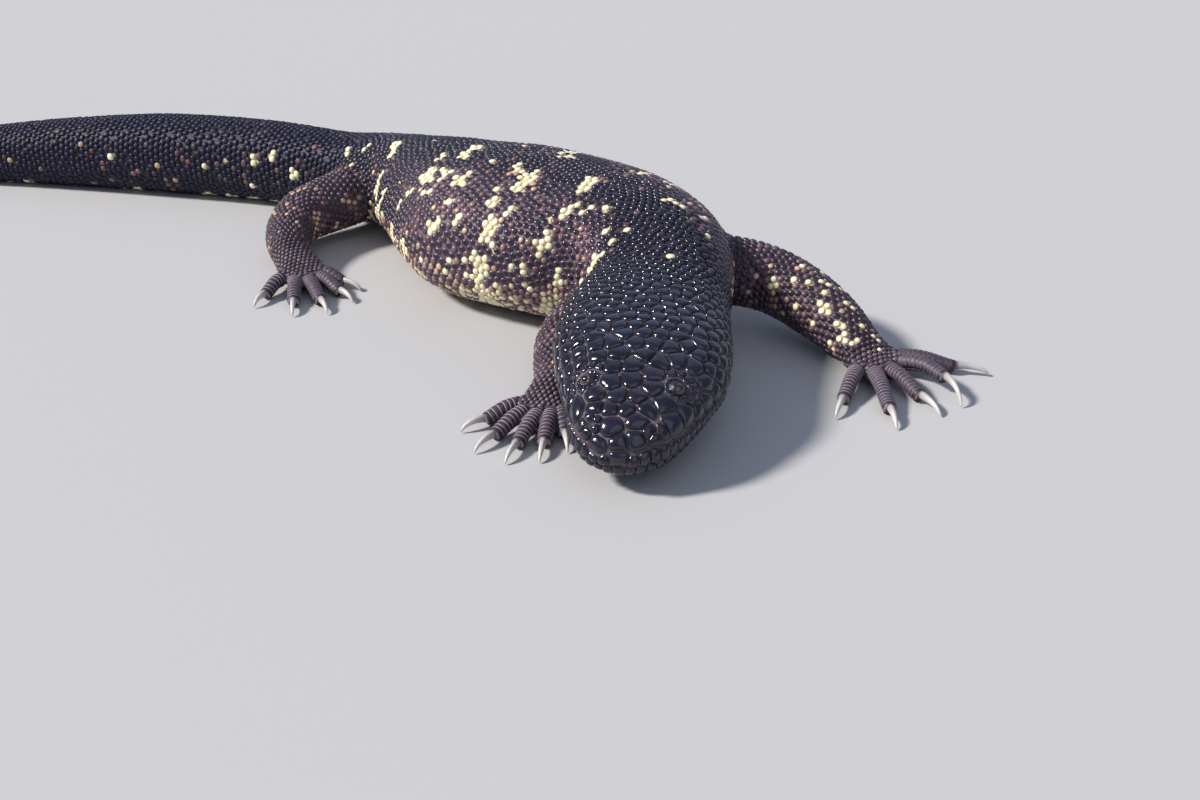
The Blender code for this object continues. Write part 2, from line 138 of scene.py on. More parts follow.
def natural_spline(knots, values, at):
    """The smoothest curve through the knots, level in bend at both its ends."""
    steps = np.diff(knots)
    count = len(knots)
    matrix = np.eye(count)
    right = np.zeros(count)
    slopes = np.diff(values) / steps
    for i in range(1, count - 1):
        matrix[i, i - 1 : i + 2] = steps[i - 1], 2.0 * (steps[i - 1] + steps[i]), steps[i]
        right[i] = 6.0 * (slopes[i] - slopes[i - 1])
    bends = np.linalg.solve(matrix, right)
    cell = np.clip(np.searchsorted(knots, at) - 1, 0, count - 2)
    h = steps[cell]
    a = (knots[cell + 1] - at) / h
    b = (at - knots[cell]) / h
    bent = ((a**3 - a) * bends[cell] + (b**3 - b) * bends[cell + 1]) * h * h / 6.0
    return a * values[cell] + b * values[cell + 1] + bent


def even_curve(knots, values, at):
    """A curve that never overshoots its knots, for widths and heights."""
    steps = np.diff(knots)
    slopes = np.diff(values) / steps
    tangents = np.concatenate([slopes[:1], np.zeros(len(knots) - 2), slopes[-1:]])
    for i in range(1, len(knots) - 1):
        if slopes[i - 1] * slopes[i] > 0.0:
            w1 = 2.0 * steps[i] + steps[i - 1]
            w2 = steps[i] + 2.0 * steps[i - 1]
            tangents[i] = (w1 + w2) / (w1 / slopes[i - 1] + w2 / slopes[i])
    cell = np.clip(np.searchsorted(knots, at) - 1, 0, len(steps) - 1)
    h = steps[cell]
    t = (at - knots[cell]) / h
    return (
        values[cell] * (2 * t**3 - 3 * t**2 + 1)
        + tangents[cell] * h * (t**3 - 2 * t**2 + t)
        + values[cell + 1] * (3 * t**2 - 2 * t**3)
        + tangents[cell + 1] * h * (t**3 - t**2)
    )


chord = running_total(np.hypot(*np.diff(BODY[:, :2], axis=0).T))
# The centre line in fine steps: its places, the length from the snout at each, and its heading.
fine = np.linspace(0.0, chord[-1], 4001)
line_x = natural_spline(chord, BODY[:, 0], fine)
line_y = natural_spline(chord, BODY[:, 1], fine)
line_s = running_total(np.hypot(np.diff(line_x), np.diff(line_y)))
station_s = np.interp(chord, fine, line_s)
BODY_LENGTH = line_s[-1]
line_way = unit(np.stack([np.gradient(line_x, line_s), np.gradient(line_y, line_s)], axis=1))


def body_frame(lengths):
    """Middle, heading and the four section sizes of the body at lengths from the snout."""
    middle = np.stack([np.interp(lengths, line_s, line_x), np.interp(lengths, line_s, line_y)], -1)
    way = np.stack([np.interp(lengths, line_s, line_way[:, k]) for k in (0, 1)], -1)
    sizes = np.stack([even_curve(station_s, BODY[:, k], lengths) for k in range(2, 6)], -1)
    return middle, way, sizes


def body_points(lengths, angles, grow):
    """Points of the body's outline; angle 0 is the animal's left, a quarter turn is the spine."""
    middle, way, sizes = body_frame(lengths)
    cosine = np.cos(angles)
    sine = np.sin(angles)
    half = sizes[..., 1] + grow
    rise = np.where(sine > 0.0, sizes[..., 2], sizes[..., 3]) + grow
    side = np.sign(cosine) * np.abs(cosine) ** SQUARENESS * half
    height = sizes[..., 0] + np.sign(sine) * np.abs(sine) ** SQUARENESS * rise
    x = middle[..., 0] + way[..., 1] * side
    y = middle[..., 1] - way[..., 0] * side
    return np.stack([x, y, np.maximum(height, -grow)], -1)


def limb_run(rows, step):
    """A limb's rows, closer together, on a smooth curve."""
    rows = np.array(rows)
    marks = running_total(np.linalg.norm(np.diff(rows[:, :3], axis=0), axis=1))
    at = np.linspace(0.0, marks[-1], int(marks[-1] / step) + 2)
    columns = [natural_spline(marks, rows[:, k], at) for k in range(3)]
    columns += [even_curve(marks, rows[:, k], at) for k in range(3, rows.shape[1])]
    return np.stack(columns, axis=1), at


def tube_frame(points):
    """Heading, side and up at each point of a run."""
    way = unit(np.gradient(points, axis=0))
    side = unit(np.cross(way, (0.0, 0.0, 1.0)))
    return way, side, np.cross(side, way)


def tube_points(run, angles, grow):
    """Outlines round a run of middles with a half width and a half thickness."""
    _, side, up = tube_frame(run[:, :3])
    across = (run[:, 3, None] + grow) * np.cos(angles)[None]
    over = (run[:, 4, None] + grow) * np.sin(angles)[None]
    points = run[:, None, :3] + side[:, None] * across[..., None] + up[:, None] * over[..., None]
    points[..., 2] = np.maximum(points[..., 2], -grow)
    return points


def toe_run(limb, number):
    """Middles and radii of one toe, gently arched, from inside the palm to the claw."""
    x, y, heading, length, _ = TOES[limb][number]
    high = (limb, number) == HIGH_TOE
    t = np.linspace(0.0, 1.0, TOE_STEPS + 1)
    turn = np.radians(heading + (HIGH_TOE_TURN * t * t if high else 0.0 * t))
    step = length / TOE_STEPS
    xs = x + running_total(np.cos(turn[:-1]) * step)
    ys = y + running_total(np.sin(turn[:-1]) * step)
    rise = TOE_TIP - TOE_ROOT + (HIGH_TOE_RISE if high else 0.0)
    heights = TOE_ROOT + rise * t + TOE_ARCH * np.sin(math.pi * t) ** 2
    radii = even_curve(np.array([0.0, 0.5, 1.0]), np.array(TOE_RADII), t)
    return np.stack([xs, ys, heights, radii, radii], axis=1)


def grid_faces(rows, columns, start=0):
    """Faces between the rows of a closed grid of points, and flat ones over its two ends."""
    row = start + np.arange(rows - 1)[:, None] * columns
    k = np.arange(columns)[None]
    n = (k + 1) % columns
    sides = np.stack([row + k, row + n, row + columns + n, row + columns + k], -1)
    first = start + np.arange(columns)[::-1]
    last = start + (rows - 1) * columns + np.arange(columns)
    return sides.reshape(-1, 4).tolist() + [first.tolist(), last.tolist()]


def mesh_object(name, points, faces):
    """A mesh object from points in millimetres of the pose, placed about the animal's middle."""
    mesh = bpy.data.meshes.new(name)
    mesh.from_pydata(((np.asarray(points) - MIDDLE) * MM).tolist(), [], faces)
    thing = bpy.data.objects.new(name, mesh)
    bpy.context.scene.collection.objects.link(thing)
    return thing


def vectors_of(mesh, name):
    flat = np.empty(len(mesh.vertices) * 3)
    mesh.vertices.foreach_get(name, flat)
    return flat.reshape(-1, 3)


def points_of(mesh):
    """Vertex places of a mesh, back in millimetres of the pose."""
    return vectors_of(mesh, "co") / MM + MIDDLE


def write_points(mesh, points):
    mesh.vertices.foreach_set("co", ((points - MIDDLE) * MM).ravel())
    mesh.update()


def face_outward(mesh):
    """Turns all faces of a closed mesh outwards."""
    turned = bmesh.new()
    turned.from_mesh(mesh)
    bmesh.ops.recalc_face_normals(turned, faces=turned.faces)
    turned.to_mesh(mesh)
    turned.free()


def ring_angles(count):
    return np.linspace(0.0, 2.0 * math.pi, count, endpoint=False)


flesh_points = []
flesh_faces = []


def add_flesh(grid):
    """Adds one closed tube to the flesh."""
    start = sum(len(block) for block in flesh_points)
    flesh_points.append(grid.reshape(-1, 3))
    flesh_faces.extend(grid_faces(*grid.shape[:2], start))


# The snout is rounder than the rest, so its rings stand closer.
body_lengths = np.concatenate([np.linspace(0.9, 12.0, 14), np.arange(13.5, BODY_LENGTH - 1.0, 1.6)])
add_flesh(body_points(body_lengths[:, None], ring_angles(96)[None], -BEAD_DEPTH))
for limb, rows in LIMBS.items():
    run, _ = limb_run(rows, 2.0)
    add_flesh(tube_points(run, ring_angles(40), -LIMB_DEPTH))
    for number in range(5):
        add_flesh(tube_points(toe_run(limb, number), ring_angles(20), -TOE_DEPTH))
flesh = mesh_object("flesh", np.concatenate(flesh_points), flesh_faces)
face_outward(flesh.data)
fused = flesh.modifiers.new("fused", "REMESH")
fused.mode = "VOXEL"
fused.voxel_size = 1.42 * MM
depsgraph = bpy.context.evaluated_depsgraph_get()
skin_mesh = bpy.data.meshes.new_from_object(flesh.evaluated_get(depsgraph))
bpy.data.objects.remove(flesh, do_unlink=True)

# Every place on the hide has a part, a length along it and a girth round it, read from a chart.
PART_BODY, PART_TOES = 0, 10
LIMB_PARTS = {"arm_left": 1, "arm_right": 2, "leg_left": 3, "leg_right": 4}
chart_points = []
chart_marks = []


def chart(grid, part, lengths):
    """Adds a grid of places to the chart, with the girth counted from the top of each outline."""
    sides = grid.shape[1]
    steps = np.linalg.norm(np.diff(grid, axis=1, append=grid[:, :1]), axis=2)
    walked = np.concatenate([np.zeros((len(grid), 1)), np.cumsum(steps, axis=1)], axis=1)
    girth = walked[:, :-1] - walked[:, sides // 4 : sides // 4 + 1]
    whole = walked[:, -1:]
    girth = np.where(girth > whole / 2.0, girth - whole, girth)
    marks = np.empty(grid.shape[:2] + (4,))
    marks[..., 0] = part
    marks[..., 1] = lengths[:, None]
    marks[..., 2] = girth
    marks[..., 3] = ring_angles(sides)[None]
    chart_points.append(grid.reshape(-1, 3))
    chart_marks.append(marks.reshape(-1, 4))


def tree_of(points):
    """A search tree of places, each under its number in the list."""
    tree = kdtree.KDTree(len(points))
    for i, point in enumerate(points):
        tree.insert(point, i)
    tree.balance()
    return tree


chart_lengths = np.arange(0.5, BODY_LENGTH, 1.5)
chart(body_points(chart_lengths[:, None], ring_angles(96)[None], 0.0), PART_BODY, chart_lengths)
for limb, rows in LIMBS.items():
    run, at = limb_run(rows, 1.5)
    chart(tube_points(run, ring_angles(48), 0.0), LIMB_PARTS[limb], at)
    for number in range(5):
        toe = tube_points(toe_run(limb, number), ring_angles(24), 0.0)
        chart(toe, PART_TOES, np.arange(TOE_STEPS + 1.0))
chart_marks = np.concatenate(chart_marks)
chart_tree = tree_of(np.concatenate(chart_points))


def chart_of(points):
    """Part, length, girth and angle of the hide nearest each point."""
    return chart_marks[[chart_tree.find(point)[1] for point in points]]


def head_place(length, aside, height):
    """A place of the head: a length from the snout, a distance to the animal's left, a height."""
    middle, way, _ = body_frame(np.array([float(length)]))
    return np.array([middle[0, 0] + way[0, 1] * aside, middle[0, 1] - way[0, 0] * aside, height])


def smooth_step(low, high, value):
    t = np.clip((value - low) / (high - low), 0.0, 1.0)
    return t * t * (3.0 - 2.0 * t)


def on_both_sides(length, aside, height):
    """A place of the head and its mirror image."""
    return {"left": head_place(length, aside, height), "right": head_place(length, -aside, height)}


def swell(away, width):
    """1 in the middle, fading smoothly to nothing about two widths away."""
    return np.exp(-((away / width) ** 2))


EYE_ALONG = 25.5
EYES = on_both_sides(EYE_ALONG, 15.6, 30.3)
NOSTRILS = on_both_sides(7.6, 11.2, 23.7)
EARS = on_both_sides(60.5, 32.8, 24.0)
MOUTH_CORNER = 47.0


def mouth_height(lengths):
    return np.interp(lengths, [-6.0, 0.0, 12.0, 30.0, MOUTH_CORNER], [10.6, 10.8, 12.6, 15.4, 15.8])


# The hide is cut finer for some way round eyes, nostrils and ears.
finer = bmesh.new()
finer.from_mesh(skin_mesh)
spots = [
    (Vector((place - MIDDLE) * MM), reach * MM)
    for pair, reach in ((EYES, 6.5), (NOSTRILS, 4.5), (EARS, 5.5))
    for place in pair.values()
]
chosen = [e for e in finer.edges if any((e.verts[0].co - c).length < r for c, r in spots)]
bmesh.ops.subdivide_edges(finer, edges=chosen, cuts=1, use_grid_fill=True)
bmesh.ops.triangulate(finer, faces=[f for f in finer.faces if len(f.verts) > 4])
finer.to_mesh(skin_mesh)
finer.free()

hide = points_of(skin_mesh)
edge_ends = np.empty(len(skin_mesh.edges) * 2, int)
skin_mesh.edges.foreach_get("vertices", edge_ends)
edge_ends = edge_ends.reshape(-1, 2)
edge_count = np.bincount(edge_ends.ravel(), minlength=len(hide))[:, None]


def relaxed(points, weight):
    """Each point drawn part of the way to the middle of its neighbours."""
    total = np.zeros_like(points)
    for k in range(3):
        for one, other in ((0, 1), (1, 0)):
            total[:, k] += np.bincount(edge_ends[:, one], points[edge_ends[:, other], k], len(points))
    return points + (total / edge_count - points) * weight


# The hide is smoothed most where a limb leaves the body, less at the knuckles, and a little elsewhere.
hide_marks = chart_of(hide)
LIMB_ROOTS = {"arm_left": 12.0, "arm_right": 14.0, "leg_left": 13.0, "leg_right": 14.0}
blend = np.zeros(len(hide))
for limb, length in LIMB_ROOTS.items():
    run, at = limb_run(LIMBS[limb], 1.0)
    root = run[int(np.searchsorted(at, length)), :3]
    blend = np.maximum(blend, 1.0 - smooth_step(14.0, 26.0, np.linalg.norm(hide - root, axis=1)))
    knuckles = run[-1, :3]
    near = 1.0 - smooth_step(7.0, 13.0, np.linalg.norm(hide - knuckles, axis=1))
    blend = np.maximum(blend, 0.35 * near * (hide_marks[:, 0] < PART_TOES))
for _ in range(14):
    hide = relaxed(hide, 0.5 * blend[:, None])
plain = np.where(hide_marks[:, 0] < PART_TOES, 0.45, 0.2)[:, None]
for _ in range(3):
    hide = relaxed(hide, plain)
HIDE_LOW = 0.5
hide[:, 2] = np.maximum(hide[:, 2], HIDE_LOW)
write_points(skin_mesh, hide)

# Sockets and nostrils are pressed in, each with a raised rim, the ears as dents, and the mouth as a
# line between two lips. Each line below is a depth or a rise, in mm, times where it holds.
out = vectors_of(skin_mesh, "normal")
length = hide_marks[:, 1]
on_body = hide_marks[:, 0] == PART_BODY
push = np.zeros(len(hide))
for place in EYES.values():
    away = np.linalg.norm(hide - place, axis=1)
    push -= 2.3 * (1.0 - smooth_step(1.8, 3.8, away)) * on_body
    push += 0.75 * swell(away - 4.9, 1.3) * on_body
for place in NOSTRILS.values():
    away = np.linalg.norm(hide - place, axis=1)
    push -= 1.9 * (1.0 - smooth_step(0.5, 1.5, away))
    push += 0.45 * swell(away - 2.2, 0.8)
for place in EARS.values():
    away = np.linalg.norm((hide - place) / (1.6, 1.6, 3.2), axis=1)
    push -= 1.6 * (1.0 - smooth_step(0.45, 1.2, away)) * on_body
below = hide[:, 2] - mouth_height(length)
gape = on_body * (1.0 - smooth_step(MOUTH_CORNER - 3.0, MOUTH_CORNER + 3.0, length))
push -= 0.9 * swell(below, 0.75) * gape
push += 0.5 * swell(below - 2.4, 1.8) * gape
push += 0.3 * swell(below + 2.4, 1.8) * gape
# Folds: one round the throat, wrinkles behind the bent arm, and a long shallow one low on each flank.
low = smooth_step(30.0, 14.0, hide[:, 2])
push -= 1.1 * swell(length - 78.0, 2.4) * low * on_body
push += 0.6 * swell(length - 83.0, 3.2) * low * on_body
girth = hide_marks[:, 2]
inner = swell(length - 126.0, 15.0) * smooth_step(26.0, 44.0, girth) * on_body
push -= 0.9 * inner * (0.5 + 0.5 * np.sin(length * 0.72 + girth * 0.08))
flank = swell(np.abs(girth) - 70.0, 4.0) * on_body
flank *= smooth_step(140.0, 165.0, length) * smooth_step(262.0, 238.0, length)
push -= 0.5 * flank
hide = hide + out * push[:, None]
hide[:, 2] = np.maximum(hide[:, 2], HIDE_LOW)
write_points(skin_mesh, hide)
skin_mesh.shade_smooth()

# Markings of hide and beads alike: cream blotches slanting down the flanks, brown mottling between.
# Each is a streak: length from the snout and girth down from the spine at both its ends, and half
# its width, in mm, on the animal's right.
BLOTCHES = (
    (295, 29, 299, 38, 2.7), (278, 37, 299, 47, 1.6), (304, 8, 294, 18, 2.4), (252, 45, 255, 49, 1.6),
    (264, 34, 262, 35, 1.6), (251, 40, 245, 40, 1.6), (246, 25, 242, 35, 2.8), (236, 38, 236, 41, 1.6),
    (252, 13, 248, 19, 1.6), (238, 25, 234, 31, 1.8), (223, 40, 225, 45, 1.5), (225, 26, 226, 33, 2.3),
    (247, -1, 239, 15, 2.6), (225, 51, 226, 58, 1.8), (218, 49, 218, 50, 1.6), (202, 46, 205, 53, 2.7),
    (208, 30, 210, 32, 1.5), (206, 35, 208, 40, 1.8), (196, 37, 198, 40, 1.7), (212, 10, 208, 17, 1.8),
    (201, 14, 201, 28, 3.1), (165, 42, 170, 50, 3.3), (172, 35, 173, 38, 1.5), (177, 4, 173, 16, 2.9),
    (166, 23, 166, 31, 2.4), (157, 20, 157, 26, 1.6), (152, 14, 146, 19, 1.6), (134, 18, 133, 22, 1.6),
    (119, 27, 118, 37, 3.2), (127, 13, 126, 13, 1.4), (123, 20, 122, 20, 1.5), (124, 43, 128, 48, 1.8),
    (206, 62, 205, 69, 2.9), (206, 71, 209, 92, 1.7), (188, 63, 188, 63, 1.8), (178, 60, 178, 60, 1.7),
    (177, 65, 178, 65, 1.7), (199, 58, 199, 58, 1.7), (218, 67, 217, 67, 1.8), (212, 66, 212, 67, 1.6),
    (211, 73, 211, 73, 1.6), (197, 73, 197, 74, 1.6), (198, 78, 198, 79, 1.6), (188, 77, 190, 80, 2.3),
    (175, 72, 176, 72, 1.6), (177, 77, 178, 78, 2.3), (190, 83, 191, 84, 1.5), (166, 72, 172, 84, 2.6),
    (155, 63, 159, 68, 1.8), (152, 52, 150, 60, 2.6), (107, -6, 106, -6, 1.1), (159, -20, 158, -19, 1.1),
    (332, 23, 332, 26, 1.7), (344, 12, 344, 17, 1.5), (328, 11, 330, 16, 1.6), (278, 2, 276, 3, 1.5),
    (229, -5, 228, -4, 1.1), (230, -15, 228, -13, 1.1), (375, 27, 376, 31, 2.0), (399, 24, 400, 28, 1.9),
    (389, 21, 389, 24, 1.8), (402, 39, 402, 41, 1.6), (417, 27, 417, 29, 1.6), (429, 31, 429, 33, 1.6),
    (481, 26, 481, 28, 1.6), (312, 40, 316, 47, 1.8), (306, 52, 308, 58, 1.7), (262, 56, 264, 62, 2.4),
    (243, 62, 245, 69, 2.4), (283, 60, 286, 66, 1.8), (258, 74, 260, 80, 1.8), (142, 72, 145, 80, 2.4),
)
BROWN_SPOTS = (
    (463, 30, 463, 34, 2.0), (455, 31, 455, 35, 2.0), (488, 31, 488, 35, 2.0), (542, 21, 542, 25, 2.2),
    (533, 39, 533, 43, 2.0), (473, 46, 473, 50, 2.0), (448, 40, 448, 44, 2.0), (406, 34, 406, 38, 2.2),
    (436, 18, 436, 22, 2.0), (424, 12, 424, 16, 2.0), (380, 15, 380, 19, 2.0), (365, 12, 365, 16, 2.0),
    (440, 28, 440, 32, 2.0), (512, 28, 512, 32, 2.0), (498, 18, 498, 22, 2.0), (418, 42, 418, 46, 2.0),
)
# Spots of the left arm: length along it and degrees round it. The legs have the same, turned round
# and drawn in to their own length, and the right arm the first few.
ARM_SPOTS = (
    (72, 52), (81, 50), (86, 40), (67, 54), (59, 68), (62, 96), (65, 126), (73, 102), (76, 105),
    (85, 94), (90, 62), (99, 106), (84, 354), (91, 322), (70, 6), (60, 21), (91, 114), (53, 46),
    (44, 22), (49, 88), (55, 120), (66, 78),
)


def both_flanks(spots):
    """The spots of the right flank, with looser ones like four in five of them on the left."""
    right = np.array(spots, float)
    left = right[np.arange(len(right)) % 5 != 3] * (1.0, -1.0, 1.0, -1.0, 1.0)
    left[:, [0, 2]] += (7.0 * np.sin(left[:, 0] * 1.7 + left[:, 1]))[:, None]
    left[:, [1, 3]] -= (4.0 * np.cos(left[:, 0]))[:, None]
    return np.concatenate([right, left[np.abs(left[:, 1]) > 4.0]])


SPOTS_CREAM = both_flanks(BLOTCHES)
SPOTS_BROWN = both_flanks(BROWN_SPOTS)
LIMB_RADIUS = 11.0


def mottle(across, along, span, seed):
    """A soft patchwork between 0 and 1, its patches about as wide as the span."""
    waves = np.random.default_rng(seed).uniform(-1.0, 1.0, (9, 3))
    total = sum(np.sin((across * a + along * b) * 4.4 / span + c * 9.0) for a, b, c in waves.tolist())
    return np.clip(0.5 + total * 0.17, 0.0, 1.0)


def spotted(lengths, girths, streaks):
    """How far inside the nearest streak each place lies: over 0.5 is inside, 1 its middle."""
    best = np.zeros(len(lengths))
    for s1, g1, s2, g2, half in streaks.tolist():
        long = math.hypot(s2 - s1, g2 - g1)
        trim = min(0.5 * half, 0.5 * long) / max(long, 0.1)
        share = ((lengths - s1) * (s2 - s1) + (girths - g1) * (g2 - g1)) / max(long * long, 0.01)
        share = np.clip(share, trim, 1.0 - trim)
        away = np.hypot(lengths - s1 - (s2 - s1) * share, girths - g1 - (g2 - g1) * share)
        best = np.maximum(best, 1.0 - 0.5 * away / half)
    return best


def markings(marks, heights):
    """How cream, how brown and how netted with brown the hide is at each place, from 0 to 1."""
    part, lengths, girths, angles = marks.T
    cream = spotted(lengths, girths, SPOTS_CREAM)
    trunk = smooth_step(96.0, 120.0, lengths) * smooth_step(330.0, 312.0, lengths)
    tail = smooth_step(315.0, 335.0, lengths)
    low = smooth_step(31.0, 12.0, heights)
    middle = smooth_step(8.0, 30.0, np.abs(girths))
    aft = lengths + 2.2 * np.clip(np.abs(girths) - 8.0, 0.0, 24.0)
    patches = mottle(girths, lengths, 15.0, 3)
    flecks = mottle(girths, lengths, 6.0, 21)
    back = 0.08 + 0.34 * patches * flecks + 0.36 * middle * patches
    back = back * smooth_step(122.0, 170.0, aft) * (1.0 - 0.6 * smooth_step(215.0, 275.0, lengths))
    brown = trunk * (back + 0.80 * low)
    brown = brown + tail * (0.03 + 0.16 * low * patches)
    brown = np.maximum(brown, 0.5 * smooth_step(0.35, 0.7, spotted(lengths, girths, SPOTS_BROWN)))
    net = trunk * smooth_step(140.0, 172.0, aft) * (0.2 + 0.8 * middle)
    net = net * (1.0 - 0.55 * smooth_step(225.0, 285.0, lengths))
    dapple = smooth_step(0.45, 0.7, mottle(girths, lengths, 7.0, 5))
    below = smooth_step(4.5, 2.5, heights) * smooth_step(0.5, 0.6, mottle(girths, lengths, 24.0, 8))
    cream = np.maximum(cream, (0.46 * low * dapple + 0.5 * below) * np.maximum(trunk, 0.6 * tail))
    for number, size in ((1, 1.0), (2, 0.8), (3, 0.86), (4, 0.86)):
        mine = part == number
        if not mine.any():
            continue
        length = lengths[mine]
        best = np.zeros(len(length))
        for t, degrees in ARM_SPOTS if number != 2 else ARM_SPOTS[:7]:
            turned = math.radians(degrees + 67.0 * (number - 1))
            round_way = np.abs((angles[mine] - turned + math.pi) % (2.0 * math.pi) - math.pi)
            away = np.hypot(length - t * size, round_way * LIMB_RADIUS)
            wide = 2.4 if 71 < t < 88 and degrees < 56 else 1.5
            best = np.maximum(best, 1.0 - 0.5 * away / wide)
        cream[mine] = best
        upper = smooth_step(6.0, 30.0, length) * smooth_step(98.0 * size, 84.0 * size, length)
        elbow = swell(length - 56.0 * size, 13.0)
        patches = mottle(girths[mine], length, 10.0, 11 + number)
        brown[mine] = 0.10 + (0.35 * upper + 0.35 * elbow) * patches
        net[mine] = 0.75 * upper
    return np.clip(cream, 0.0, 1.0), np.clip(brown, 0.0, 1.0), np.clip(net, 0.0, 1.0)


def give(mesh, name, values, kind="FLOAT"):
    """Writes a value, or a vector, for each vertex of a mesh."""
    layer = mesh.attributes.new(name, kind, "POINT")
    field = "value" if kind == "FLOAT" else "vector"
    layer.data.foreach_set(field, np.asarray(values, float).ravel())


hide_marks = chart_of(hide)
hide_cream, _, hide_net = markings(hide_marks, hide[:, 2])
give(skin_mesh, "cream", smooth_step(0.42, 0.58, hide_cream))
give(skin_mesh, "net", hide_net)
on_body = hide_marks[:, 0] == PART_BODY
length = hide_marks[:, 1]
on_head = on_body * smooth_step(112.0, 84.0, length)
give(skin_mesh, "mauve", np.maximum(on_head, 0.75 * (hide_marks[:, 0] == PART_TOES)))
below = hide[:, 2] - mouth_height(length)
gape = on_body * smooth_step(MOUTH_CORNER + 4.0, MOUTH_CORNER - 2.0, length)
# A painted highlight on the snout, where a seam catches the light, takes the pale pink colour of the
# lips.
lit_seam_away = np.linalg.norm((hide - head_place(10.5, 5.0, 28.0)) / (8.0, 4.0, 4.0), axis=1)
give(skin_mesh, "lips", np.maximum(gape * swell(below, 1.6), swell(lit_seam_away, 1.0)))
give(skin_mesh, "tail", on_body * smooth_step(310.0, 345.0, length))


class Wire:
    """One socket of a material; sums and products of wires add the nodes that work them out."""

    def __init__(self, tree, socket=None):
        self.tree = tree
        self.socket = socket

    def node(self, kind, settings, values, out=0):
        """Adds a node: first its settings, then the values or wires of its sockets."""
        made = self.tree.nodes.new(kind)
        for name, value in settings.items():
            setattr(made, name, value)
        for name, value in values.items():
            if isinstance(value, Wire):
                self.tree.links.new(value.socket, made.inputs[name])
            else:
                made.inputs[name].default_value = value
        return Wire(self.tree, made.outputs[out])

    def maths(self, operation, *values):
        return self.node("ShaderNodeMath", {"operation": operation}, dict(enumerate(values)))

    def __add__(self, other):
        return self.maths("ADD", self, other)

    def __sub__(self, other):
        return self.maths("SUBTRACT", self, other)

    def __rsub__(self, other):
        return self.maths("SUBTRACT", other, self)

    def __mul__(self, other):
        return self.maths("MULTIPLY", self, other)

    def __pow__(self, other):
        return self.maths("POWER", self, other)

    __radd__ = __add__
    __rmul__ = __mul__

    def between(self, low, high):
        """0 below the low value, 1 above the high one, and a smooth rise from one to the other."""
        settings = {"interpolation_type": "SMOOTHSTEP"}
        return self.node("ShaderNodeMapRange", settings, {0: self, 1: low, 2: high})

    def mixed(self, one, other):
        """The first colour where this wire is 0 and the other where it is 1."""
        one = (*one, 1.0) if isinstance(one, tuple) else one
        other = (*other, 1.0) if isinstance(other, tuple) else other
        values = {0: self, 6: one, 7: other}
        return self.node("ShaderNodeMix", {"data_type": "RGBA"}, values, out=2)

    def attribute(self, name):
        return self.node("ShaderNodeAttribute", {"attribute_name": name}, {}, out=2)

    def place(self):
        """Where on the piece each point is."""
        return self.node("ShaderNodeTexCoord", {}, {}, out=3)

    def noise(self, scale, detail=3.0):
        """A cloudy pattern fixed to the piece, so many to the metre."""
        values = {"Vector": self.place(), "Scale": scale, "Detail": detail, "Roughness": 0.55}
        return self.node("ShaderNodeTexNoise", {}, values)

    def relief(self, strength, distance):
        """Fine relief as deep as the distance, in metres, where this wire is 1."""
        values = {"Strength": strength, "Distance": distance, "Height": self}
        return self.node("ShaderNodeBump", {}, values)


def finish_for(name):
    """A new material with its wires and its one shader."""
    material = bpy.data.materials.new(name)
    material.use_nodes = True
    wire = Wire(material.node_tree)
    return material, wire, material.node_tree.nodes["Principled BSDF"]


def plug(shader, **links):
    """Feeds wires, or sets plain values, on the shader's sockets."""
    for name, value in links.items():
        socket = shader.inputs[name.replace("_", " ")]
        if isinstance(value, Wire):
            value.tree.links.new(value.socket, socket)
        else:
            socket.default_value = value


HIDE_DARK = (0.018, 0.013, 0.020)
HIDE_NET = (0.140, 0.092, 0.122)
HIDE_TAIL = (0.011, 0.009, 0.018)
HIDE_MAUVE = (0.090, 0.064, 0.082)
HIDE_CLOUD = (0.018, 0.012, 0.016)
# Colour of the lips, also used for the painted highlight on the snout.
HIDE_LIPS_AND_LIT_SEAM = (0.330, 0.215, 0.215)
HIDE_CREAM = (0.66, 0.55, 0.30)
hide_finish, wire, shader = finish_for("hide between beads")
cloud = wire.noise(260.0)
grain = wire.noise(2600.0, 4.0)
ground = wire.attribute("net").mixed(HIDE_DARK, HIDE_NET)
ground = wire.attribute("tail").mixed(ground, HIDE_TAIL)
ground = wire.attribute("mauve").mixed(ground, HIDE_MAUVE)
ground = (cloud.between(0.35, 0.7) * 0.35).mixed(ground, HIDE_CLOUD)
# The lips mask also carries the painted highlight on the snout.
ground = (wire.attribute("lips") * 0.8).mixed(ground, HIDE_LIPS_AND_LIT_SEAM)
ground = wire.attribute("cream").mixed(ground, HIDE_CREAM)
rough = 0.5 + 0.2 * grain
plug(shader, Base_Color=ground, Roughness=rough, Normal=grain.relief(0.35, 0.0003))

FLESH_NODES = [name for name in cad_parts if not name.startswith(("claw", "eye"))]
skin = bpy.data.objects.new("skin", skin_mesh)
bpy.context.scene.collection.objects.link(skin)
skin_mesh.materials.clear()
skin_mesh.materials.append(hide_finish)
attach(skin, "root")
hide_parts(*FLESH_NODES)

# Head plates. The skull of the real animal carries polished bony plates, largest on the snout,
# each grown tight against the next. Every scale of the hide is sited here in one pass, so that
# plates pass into beads without a break: rows round the body, evened out by pushing apart.
skin_tree = BVHTree.FromPolygons(
    [tuple(point) for point in hide], [tuple(p.vertices) for p in skin_mesh.polygons]
)
# How far apart scales stand, by length from the snout.
SPACING = np.array((
    (0.0, 6.6), (8.0, 7.6), (18.0, 7.2), (30.0, 6.3), (48.0, 6.0), (64.0, 5.2), (78.0, 4.3),
    (92.0, 3.7), (112.0, 3.3), (150.0, 3.15), (320.0, 3.15), (420.0, 3.35), (540.0, 3.1),
    (590.0, 2.6), (640.0, 2.0),
))


